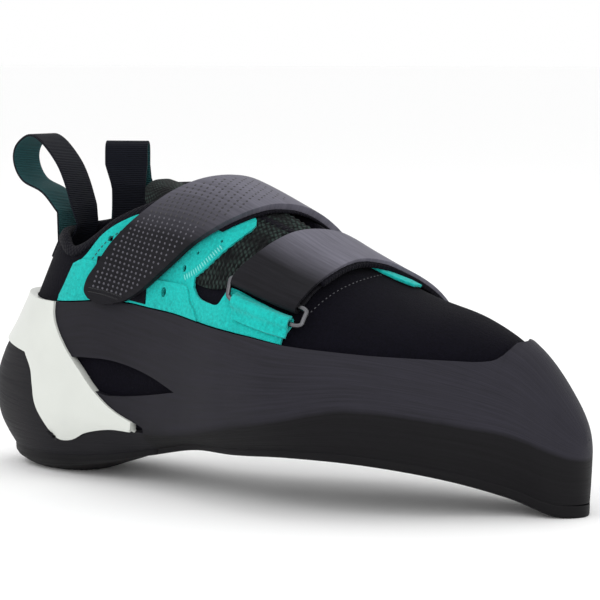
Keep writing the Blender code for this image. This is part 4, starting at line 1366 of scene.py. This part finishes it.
def make_mesh_window():
    """The ribbed mesh of the instep between the straps."""
    bottom = through(MESH_FOOT, 90)
    top = level(bottom[0, 0], bottom[-1, 0], 90, lambda ring: np.full_like(ring, MESH_TOP))
    rows = 30
    grid = patch(bottom, top, straight(bottom[0], top[0], rows), straight(bottom[-1], top[-1], rows))

    def ribs(ring, _):
        return MESH_HEIGHT + MESH_RIB * np.sin(around(ring) * 2 * np.pi / MESH_PITCH)

    ring = np.linspace(grid[0, 0, 0], grid[0, -1, 0], 360)
    wide = np.stack([[np.interp(ring, line[:, 0], line[:, 1])] for line in grid]).reshape(rows, -1)
    fine = np.stack([np.broadcast_to(ring, wide.shape), wide], -1)
    thing = panel("instep_mesh", [fine], ribs)
    wall(thing, MESH_THICKNESS)
    return hand_over(thing, "mesh", [weave("instep_mesh_finish", "mesh", 0.5)])


def make_tongue():
    """The padded tongue, under the opening's edges from side to side."""
    along = np.linspace(TONGUE[0].along, TONGUE[-1].along, 110)
    reach = spline(column(TONGUE, "along"), column(TONGUE, "swing"), along)
    swing = reach + (2 - 2 * reach) * np.linspace(0, 1, 33)[:, None]
    ring, place = over_ridge(np.broadcast_to(turn(along) / np.pi, swing.shape), swing)
    grid = raised(ring, place, -TONGUE_DEPTH)
    thing = merge([add_grid("tongue", grid, in_mm(grid))], "tongue_mesh")
    wall(thing, TONGUE_THICKNESS)
    soften(thing, 0.7, 3)
    return hand_over(thing, "mesh", [weave("tongue_mesh", "mesh", 0.5)], "tongue")


def make_strap(name, rows, thickness, painted_shade_end, lit_from):
    """A strap with a border at both edges, with painted shade up to some millimetres from its outer end."""
    grid = strap_grid(rows, edge_shares(STRAP_BORDER, 26))
    middle = merge([add_grid(name, grid, in_mm(grid))], name + "_band")
    wall(middle, thickness, offset=0)
    soften(middle, 0.5, 3)
    edit(middle, faces_out)
    return hand_over(middle, "strap", [laminate(name + "_laminate", painted_shade_end, lit_from)], name)


def make_strap_pad(name, rows, first, stop, drop, thickness):
    """The dark padding under a strap, which shows along its front edge: partly the strap's dark lining,
    partly painted shadow under that edge.
    """
    keys = np.arange(len(rows))
    at = np.linspace(first, stop, 90)
    value = {key: spline(keys, column(rows, key), at) for key in ("swing", "rear", "front", "height")}
    grid = []
    for share in np.linspace(0.1, 1, 18):
        wide = value["front"] + PAD_SHOWS - value["rear"]
        ring, place = over_ridge(turn(value["rear"] + wide * share) / np.pi, value["swing"])
        grid.append(raised(ring, place, value["height"] - drop))
    grid = np.array(grid)
    thing = merge([add_grid(name, grid, in_mm(grid))], name)
    wall(thing, thickness, offset=0)
    soften(thing, 0.4, 3)
    edit(thing, faces_out)
    return hand_over(thing, "strap", [weave("pad_cloth", "black", 0.4)])


def surface_frames(rows, height, along, across):
    """Points and frames on a strap's upper face, at shares along its rows and across it."""
    keys = np.arange(len(rows))

    def at(shift_along, shift_across):
        swing = spline(keys, column(rows, "swing"), along + shift_along)
        rear = spline(keys, column(rows, "rear"), along + shift_along)
        front = spline(keys, column(rows, "front"), along + shift_along)
        tall = spline(keys, column(rows, "height"), along + shift_along)
        ring, place = over_ridge(turn(rear + (front - rear) * (across + shift_across)) / np.pi, swing)
        return raised(ring, place, tall)

    centre = at(0, 0)
    run, side = unit(at(0.02, 0) - at(-0.02, 0)), at(0, 0.01) - at(0, -0.01)
    away = unit(np.cross(side, run))
    away *= np.sign((away * (centre - np.array([0, 60, 40]))).sum(-1, keepdims=True))
    return centre + away * height, run, away


def scatter(name, template, centres, runs, ways, scales):
    """Copies of a small form, each laid on its own place and joined into one piece."""
    copies = []
    for centre, run, way, scale in zip(centres, runs, ways, scales):
        run, way = Vector(run).normalized(), Vector(way).normalized()
        side = way.cross(run).normalized()
        run = side.cross(way)
        copy = template.copy()
        copy.data = template.data.copy()
        bpy.context.scene.collection.objects.link(copy)
        copy.matrix_world = frame_matrix(run, side, way, centre, scale)
        copies.append(copy)
    bpy.data.objects.remove(template)
    only(*copies)
    bpy.ops.object.join()
    thing = bpy.context.object
    bpy.ops.object.transform_apply(location=True, rotation=True, scale=True)
    thing.name = thing.data.name = name
    return thing


def frame_matrix(run, side, way, centre, scale):
    """The place, turn and size of a small form."""
    columns = [run * scale[0], side * scale[1], way * scale[2]]
    rows = [[column[k] for column in columns] + [centre[k] * MM] for k in range(3)]
    return Matrix([*rows, [0, 0, 0, 1]])


def small_ball(segments=10, rings=6):
    """A ball one millimetre in radius, to be scattered."""
    bpy.ops.object.select_all(action="DESELECT")
    bpy.ops.mesh.primitive_uv_sphere_add(segments=segments, ring_count=rings, radius=MM)
    return bpy.context.object


def make_strap_dots():
    """Rows of raised dots on the outer part of the top strap, then faint ones towards the ridge."""
    rows = STRAP_TOP
    keys = np.arange(len(rows))
    fine = np.linspace(0, DOT_ROWS, 2000)
    run = run_along(surface_frames(rows, 0, fine, np.full_like(fine, 0.5))[0])
    places, shares = [], []
    step = DOT_PITCH * math.sqrt(3) / 2
    for i in range(int(run[-1] / step)):
        at = np.interp(DOT_START + i * step, run, fine)
        ends = [spline(keys, column(rows, name), at) for name in ("rear", "front")]
        wide = float((ends[1] - ends[0]) * LAST_LENGTH)
        half = wide / 2 - DOT_MARGIN
        count = int(half // DOT_PITCH) + 1
        for k in range(-count, count + 1):
            off = (k + 0.5 * (i % 2)) * DOT_PITCH
            if abs(off) < half:
                places.append((at, 0.5 + off / wide))
                shares.append(i * step / run[-1])
    along, across = np.array(places).T
    share = np.array(shares)
    dots, pits = share < DOTS_END, (share >= DOTS_END) & (share < PITS_END)
    # The raised dots are painted paler as a highlight, and the flat discs dark as the shade in small holes
    for name, kind, some, radius, rise in (
        ("strap_dots", "dot", dots, 0.50 - 0.1 * share, 0.36 * (1 - 1.6 * share)),
        ("strap_pits", "pit", pits, 0.64 - 0.35 * (share - DOTS_END), np.full_like(share, 0.13)),
    ):
        over = STRAP_TOP_THICKNESS / 2 - 0.05
        points, runs, ways = surface_frames(rows, over, along[some], across[some])
        scales = [(r, r, max(h, 0.1)) for r, h in zip(radius[some], rise[some])]
        thing = scatter(name, small_ball(10, 6), points, runs, ways, scales)
        hand_over(thing, "strap", [thread(kind + "_laminate", kind)])


def make_patch():
    """The patch of loop pile that the top strap closes on."""
    along = np.linspace(*PATCH_ENDS, 50)
    ring = turn(along) / np.pi
    start = (rand_edge(ring) - WIDEST) / (1 - WIDEST) + 0.01
    swing = start + PATCH_RISE * np.linspace(0, 1, 12)[:, None]
    points_ring, place = over_ridge(np.broadcast_to(ring, swing.shape), swing)
    grid = raised(points_ring, place, PATCH_HEIGHT)
    thing = merge([add_grid("strap_patch", grid, in_mm(grid))], "loop_patch")
    wall(thing, PATCH_THICKNESS)
    return hand_over(thing, "hook_patch", [cloth("loop_pile", "black")], "strap_patch")


def make_ring():
    """The wire ring, a rounded rectangle bent over the side of the last."""
    corner = 0.2
    flat = []
    for i, (a, b) in enumerate(((1, 1), (-1, 1), (-1, -1), (1, -1))):
        for bend in np.linspace(0, math.pi / 2, 9) + i * math.pi / 2:
            x = a * (1 - corner) + corner * math.cos(bend)
            flat.append((x, b * (1 - 2 * corner) + 2 * corner * math.sin(bend)))
    line = []
    for i, spot in enumerate(flat):
        after = flat[(i + 1) % len(flat)]
        line += [spot] if math.dist(spot, after) < 0.5 else list(straight(spot, after, 10)[:-1])
    a, b = np.array(line).T
    half = (b + 1) / 2
    along = RING_ENDS[0] + (RING_ENDS[1] - RING_ENDS[0]) * (a + 1) / 2
    swing = RING_BARS[1] + (RING_BARS[0] - RING_BARS[1]) * half
    ring, place = over_ridge(turn(along) / np.pi, swing)
    points = raised(ring, place, RING_HEIGHTS[1] + (RING_HEIGHTS[0] - RING_HEIGHTS[1]) * half)
    curve = bpy.data.curves.new("ring", "CURVE")
    curve.dimensions = "3D"
    curve.bevel_depth = RING_WIRE / 2 * MM
    curve.bevel_resolution = 5
    wire = curve.splines.new("POLY")
    wire.points.add(len(points) - 1)
    for spot, point in zip(wire.points, points):
        spot.co = (*(point * MM), 1)
    wire.use_cyclic_u = True
    thing = bpy.data.objects.new("wire_ring", curve)
    bpy.context.scene.collection.objects.link(thing)
    only(thing)
    bpy.ops.object.convert(target="MESH")
    return hand_over(thing, "ring_wire", [metal("dark_wire")], "ring")


def make_tab():
    """The teal tab that holds the wire ring."""
    grid = strap_grid(TAB, np.linspace(0, 1, 24))
    thing = merge([add_grid("ring_tab", grid, in_mm(grid))], "teal_ring_tab")
    wall(thing, TAB_THICKNESS, offset=0)
    soften(thing, 0.3)
    edit(thing, faces_out)
    return hand_over(thing, "suede_teal", [suede("teal_tab", "teal")], "ring_tab")


def make_loop(name, ring, outer_leg, bends, inner_leg, outer, height, width):
    """A ribbon folded over the collar's edge at one point of the ring."""
    rim = last(ring, open_edge(np.array(ring)))
    step = 0.01
    front, back = (last(at, place_at_z(np.array(at), rim[2])) for at in (ring + step, ring - step))
    run = front - back
    reach = width / np.linalg.norm(run) * 2 * step
    run[2] = 0
    run /= np.linalg.norm(run)
    out = np.cross(run, (0, 0, 1))
    columns = np.linspace(-0.5, 0.5, 17)

    def leg(rise, over_last):
        near = ring + reach * columns
        return raised(near, place_at_z(near, rim[2] + rise), over_last)

    outer_rises = np.linspace(outer_leg[0], outer_leg[-1], 9)
    inner_rises = np.linspace(inner_leg[0], inner_leg[-1], 10)
    grid = [leg(rise, outer) for rise in outer_rises]
    keys = np.arange(len(bends))
    for at in np.linspace(0, len(bends) - 1, (len(bends) - 1) * 6 + 1):
        away = spline(keys, column(bends, "out"), at) / 100 * height
        up = spline(keys, column(bends, "up"), at) / 100 * height
        grid.append(rim + out * away + np.array([0, 0, up]) + run * width * columns[:, None])
    grid += [leg(rise, -UPPER_WALL - LOOP_INSIDE - RIBBON / 2) for rise in inner_rises]
    grid = np.array(grid)
    thing = merge([add_grid(name, grid, in_mm(grid))], name + "_ribbon")
    wall(thing, RIBBON, offset=0, inside=1)
    soften(thing, 0.25)
    finishes = [ribbon_finish(name + "_black", "ribbon"), ribbon_finish(name + "_inner", "ribbon_inner")]
    return hand_over(thing, "ribbon", finishes, name)


# Stitching

def stitch_line(name, line, height, pitch, size_mm, tint, slot, turned=False):
    """A row of stitches over the last along a line, or across it where turned."""
    points = raised(line[:, 0], line[:, 1], height)
    run = run_along(points)
    at = np.arange(pitch / 2, run[-1], pitch)
    ring = np.interp(at, run, line[:, 0])
    place = np.interp(at, run, line[:, 1])
    centres = raised(ring, place, height)
    ways = normal(ring, place)
    before, after = (
        np.stack([np.interp(at + shift, run, points[:, k]) for k in range(3)], -1) for shift in (-0.3, 0.3)
    )
    runs = unit(after - before)
    if turned:
        runs = np.cross(ways, runs)
    thing = scatter(name, small_ball(8, 6), centres, runs, ways, [size_mm] * len(at))
    return hand_over(thing, slot, [thread(tint + "_thread", tint)])


def make_stitches():
    """The rows of stitches on the outer quarter and on the vamp."""
    high = QUARTER_GAP + QUARTER_THICKNESS
    ladder, toe = through(LADDER_LINE, 60), through(VAMP_LINE, 60)
    collar = through([Spot(spot.along + 1.0, spot.up - 2.2) for spot in QUARTER_COLLAR[1:10]], 120)
    for name, line, height, pitch, stitch, tint, slot in (
        ("ladder_stitches", ladder, high + 0.05, 1.15, (1.3, 0.28, 0.22), "teal_stitch", "suede_teal"),
        ("collar_stitches", collar, high + 0.02, 2.0, (0.7, 0.22, 0.18), "dark_stitch", "suede_teal"),
        ("vamp_stitches", toe, 0.1, 2.0, (0.5, 0.2, 0.15), "grey_stitch", "suede_black"),
    ):
        turned = name == "ladder_stitches"
        stitch_line(name, line, height, pitch, stitch, tint, slot, turned)


def make_strap_stitches():
    """Two rows of stitches across the outer end of the top strap."""
    across = np.linspace(0.14, 0.86, 21)
    height = STRAP_TOP_THICKNESS / 2 + 0.05
    scales = [(0.42, 0.16, 0.14)] * len(across)
    for i, at in enumerate(STITCH_ROWS):
        points, runs, ways = surface_frames(STRAP_TOP, height, np.full_like(across, at), across)
        runs = np.cross(runs, ways)
        thing = scatter(f"strap_stitches_{i + 1}", small_ball(8, 6), points, runs, ways, scales)
        hand_over(thing, "strap", [thread("strap_thread", "black")])


# Stage

def make_stage():
    """The camera, the floor and the lights."""
    view = bpy.context.scene.shoe_view
    target = Vector((0, 0.114896, 0.071168))
    direction = Vector((
        math.cos(view.elevation) * math.sin(view.azimuth),
        -math.cos(view.elevation) * math.cos(view.azimuth),
        math.sin(view.elevation),
    ))
    data = bpy.data.cameras.new("view")
    data.lens, data.sensor_width = view.lens, 36
    data.clip_start, data.clip_end = 0.05, 90
    camera = bpy.data.objects.new("view", data)
    bpy.context.scene.collection.objects.link(camera)
    camera.location = target + direction * view.distance
    camera.rotation_euler = direction.to_track_quat("Z", "Y").to_euler()
    bpy.context.scene.camera = camera

    bpy.ops.object.select_all(action="DESELECT")
    bpy.ops.mesh.primitive_plane_add(size=60)
    floor = bpy.context.object
    floor.name = "floor"
    n = Nodes("pale_floor")
    floor.data.materials.append(n.set(color=(0.98, 0.98, 0.98), rough=0.9, specular=0.1))
    for name, where, to, power, wide in (
        ("key", (0.9, -0.5, 1.1), (0, 0.11, 0.05), view.key_power, 0.9),
        ("fill", (1.2, 1.1, 0.7), (0, 0.14, 0.05), view.fill_power, 1.0),
        ("top", (-0.3, 0.2, 1.5), (0, 0.11, 0.05), view.top_power, 1.2),
    ):
        light = bpy.data.lights.new(name, "AREA")
        light.energy, light.size = power, wide
        lamp = bpy.data.objects.new(name, light)
        bpy.context.scene.collection.objects.link(lamp)
        lamp.location = where
        lamp.visible_camera = False
        lamp.rotation_euler = (Vector(where) - Vector(to)).to_track_quat("Z", "Y").to_euler()
    world = bpy.data.worlds.new("pale_room")
    world.use_nodes = True
    world.node_tree.nodes["Background"].inputs["Color"].default_value = (1, 1, 1, 1)
    world.node_tree.nodes["Background"].inputs["Strength"].default_value = view.room_light
    bpy.context.scene.world = world
    bpy.context.scene.view_settings.view_transform = "Standard"


# The sidebar: sizes, colours, view and one button for each group of pieces

def length(label, text, value):
    return FloatProperty(name=label, description=text, default=value, min=0.001, unit="LENGTH")


def tint(label, text, value):
    return FloatVectorProperty(name=label, description=text, default=value, min=0, max=1, subtype="COLOR")


def angle(label, text, degrees):
    return FloatProperty(name=label, description=text, default=math.radians(degrees), subtype="ANGLE")


def power(label, value):
    return FloatProperty(name=label, description="Power in watts", default=value, min=0)


class ShoeSizes(PropertyGroup):
    """The named sizes of the solids."""

    heel_width: length("Heel width", "Width of the last's widths at the heel", 0.062)
    ball_width: length("Ball width", "Width of the last's widths at the ball", 0.090)
    instep_height: length("Instep height", "Height that the outlines are measured in", 0.112)
    collar_height: length("Collar height", "Floor to the back of the collar", 0.094)
    sole_thickness: length("Sole thickness", "Thickness of the sole's two pieces", 0.004)


class ShoeColours(PropertyGroup):
    """The colours of the finishes."""

    black: tint("Black suede", "Vamp and collar", (0.0022, 0.0019, 0.0046))
    teal: tint("Teal suede", "Quarters and tab", (0.008, 0.42, 0.385))
    teal_stitch: tint("Pale stitches", "Ladder stitches on the teal", (0.13, 0.62, 0.57))
    dark_stitch: tint("Dark stitches", "Stitches beside edges of the teal", (0.004, 0.045, 0.045))
    grey_stitch: tint("Grey stitches", "Stitches on the vamp", (0.045, 0.045, 0.052))
    # The lit copy of the rand's sanded rubber, paler than the painted shade below its crease
    rubber: tint("Sanded rubber", "Rand above its crease", (0.0180, 0.0170, 0.0240))
    # Painted shade below the rand's crease and towards the heel, and the soles' own dark rubber
    rubber_under: tint("Lower rubber", "Rand below its crease and the soles", (0.0030, 0.0027, 0.0036))
    band: tint("Heel band", "White rubber round the heel", (0.64, 0.66, 0.62))
    strap: tint("Straps", "Laminate of the straps", (0.125, 0.121, 0.150))
    # Painted highlight on the raised dots
    dot: tint("Raised dots", "Dots near the top strap's end", (0.060, 0.058, 0.074))
    # Painted shade of the small holes near the ridge
    pit: tint("Flat dots", "Dots near the ridge", (0.013, 0.012, 0.017))
    mesh: tint("Mesh", "Ground of the mesh", (0.0035, 0.0040, 0.0045))
    # Painted highlight on the mesh's raised yarns
    mesh_dot_highlight: tint("Mesh dots", "Raised yarns of the mesh", (0.035, 0.060, 0.052))
    lining: tint("Lining", "Lining and insole", (0.020, 0.020, 0.024))
    ribbon: tint("Ribbon", "Outer face of the pull loops", (0.0028, 0.0038, 0.0090))
    ribbon_inner: tint("Ribbon's inner face", "Inner face of the heel's pull loop", (0.018, 0.085, 0.092))
    wire: tint("Wire", "Wire ring", (0.13, 0.13, 0.14))


class ShoeView(PropertyGroup):
    """Camera and light."""

    azimuth: angle("Azimuth", "Camera's angle round the shoe", 125)
    elevation: angle("Elevation", "Camera's angle over the floor", 6)
    distance: length("Distance", "Camera to the shoe's middle", 0.850)
    lens: FloatProperty(name="Lens", description="Focal length in millimetres", default=139.306, min=1)
    key_power: power("Key light", 2.4)
    fill_power: power("Fill light", 4.2)
    top_power: power("Top light", 3.2)
    room_light: FloatProperty(name="Room light", description="Strength of the pale room", default=1.0, min=0)


class ShoeOperator:
    bl_options = {"REGISTER", "UNDO"}


class SHOE_OT_upper(ShoeOperator, Operator):
    """Model the hollow upper, its lining and its collar binding"""

    bl_idname = "shoe.upper"
    bl_label = "Upper"

    def execute(self, context):
        make_upper()
        make_collar_binding()
        return {"FINISHED"}


class SHOE_OT_rubber(ShoeOperator, Operator):
    """Model the rand and the rubber cup of the heel"""

    bl_idname = "shoe.rubber"
    bl_label = "Rand and heel cup"

    def execute(self, context):
        make_rand()
        make_heel_cup()
        return {"FINISHED"}


class SHOE_OT_band(ShoeOperator, Operator):
    """Model the white band round the heel"""

    bl_idname = "shoe.band"
    bl_label = "Heel band"

    def execute(self, context):
        make_heel_band()
        return {"FINISHED"}


class SHOE_OT_soles(ShoeOperator, Operator):
    """Model the two pieces of the sole and the insole"""

    bl_idname = "shoe.soles"
    bl_label = "Soles"

    def execute(self, context):
        make_soles()
        make_insole()
        return {"FINISHED"}


class SHOE_OT_quarters(ShoeOperator, Operator):
    """Model the teal quarters, their laps and their punched holes"""

    bl_idname = "shoe.quarters"
    bl_label = "Teal quarters"

    def execute(self, context):
        make_quarter_lateral()
        make_quarter_lap()
        make_quarter_medial()
        make_crescent()
        return {"FINISHED"}


class SHOE_OT_instep(ShoeOperator, Operator):
    """Model the tongue and the ribbed mesh of the instep"""

    bl_idname = "shoe.instep"
    bl_label = "Tongue and mesh"

    def execute(self, context):
        make_tongue()
        make_mesh_window()
        return {"FINISHED"}


class SHOE_OT_straps(ShoeOperator, Operator):
    """Model both straps with their dots, and the patch that the top strap closes on"""

    bl_idname = "shoe.straps"
    bl_label = "Straps"

    def execute(self, context):
        make_patch()
        make_strap("strap_top", STRAP_TOP, STRAP_TOP_THICKNESS, painted_shade_end=40, lit_from=76)
        make_strap_dots()
        make_strap_pad("strap_top_pad", STRAP_TOP, PAD_START, stop=17.0, drop=1.75, thickness=1.0)
        make_strap_pad("strap_lower_pad", STRAP_LOWER, PAD_START, stop=16.0, drop=1.7, thickness=1.8)
        make_strap("strap_lower", STRAP_LOWER, STRAP_LOWER_THICKNESS, painted_shade_end=33, lit_from=50)
        return {"FINISHED"}


class SHOE_OT_fittings(ShoeOperator, Operator):
    """Model the wire ring, its tab and the pull loops"""

    bl_idname = "shoe.fittings"
    bl_label = "Ring and pull loops"

    def execute(self, context):
        make_ring()
        make_tab()
        make_loop(
            "pull_loop_heel", 0.0, HEEL_OUTER_LEG, HEEL_LOOP, HEEL_INNER_LEG,
            GAP + RIBBON / 2, HEEL_LOOP_HEIGHT, HEEL_LOOP_WIDTH,
        )
        make_loop(
            "pull_loop_side", ring_of(SIDE_LOOP_ALONG, "med"), SIDE_OUTER_LEG, SIDE_LOOP, SIDE_INNER_LEG,
            QUARTER_GAP + QUARTER_THICKNESS + GAP + RIBBON / 2, SIDE_LOOP_HEIGHT, SIDE_LOOP_WIDTH,
        )
        return {"FINISHED"}


class SHOE_OT_stitches(ShoeOperator, Operator):
    """Model the rows of stitches"""

    bl_idname = "shoe.stitches"
    bl_label = "Stitches"

    def execute(self, context):
        make_stitches()
        make_strap_stitches()
        return {"FINISHED"}


class SHOE_OT_stage(ShoeOperator, Operator):
    """Set up the camera, the floor and the lights"""

    bl_idname = "shoe.stage"
    bl_label = "Stage"

    def execute(self, context):
        make_stage()
        return {"FINISHED"}


class SHOE_PT_panel(Panel):
    """Sizes, colours and one button for each group of pieces"""

    bl_label = "Climbing shoe"
    bl_idname = "SHOE_PT_panel"
    bl_space_type = "VIEW_3D"
    bl_region_type = "UI"
    bl_category = "Shoe"

    def draw(self, context):
        scene = context.scene
        for group in (scene.shoe_sizes, scene.shoe_colours, scene.shoe_view):
            box = self.layout.box()
            for key in group.__annotations__:
                box.prop(group, key)
        for step in STEPS:
            self.layout.operator(step.bl_idname)


STEPS = (
    SHOE_OT_upper,
    SHOE_OT_rubber,
    SHOE_OT_band,
    SHOE_OT_soles,
    SHOE_OT_quarters,
    SHOE_OT_instep,
    SHOE_OT_straps,
    SHOE_OT_fittings,
    SHOE_OT_stitches,
    SHOE_OT_stage,
)
GROUPS = (ShoeSizes, ShoeColours, ShoeView)
CLASSES = GROUPS + STEPS + (SHOE_PT_panel,)


def register():
    """Adds the sizes, colours and buttons to Blender."""
    for made_class in CLASSES:
        bpy.utils.register_class(made_class)
    bpy.types.Scene.shoe_sizes = PointerProperty(type=ShoeSizes)
    bpy.types.Scene.shoe_colours = PointerProperty(type=ShoeColours)
    bpy.types.Scene.shoe_view = PointerProperty(type=ShoeView)


def unregister():
    """Takes them out again."""
    del bpy.types.Scene.shoe_view
    del bpy.types.Scene.shoe_colours
    del bpy.types.Scene.shoe_sizes
    for made_class in reversed(CLASSES):
        bpy.utils.unregister_class(made_class)


def main():
    """Models the whole shoe and its stage."""
    register()
    bpy.ops.shoe.upper()
    bpy.ops.shoe.rubber()
    bpy.ops.shoe.band()
    bpy.ops.shoe.soles()
    bpy.ops.shoe.quarters()
    bpy.ops.shoe.instep()
    bpy.ops.shoe.straps()
    bpy.ops.shoe.fittings()
    bpy.ops.shoe.stitches()
    bpy.ops.shoe.stage()
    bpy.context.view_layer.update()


if __name__ == "__main__":
    main()
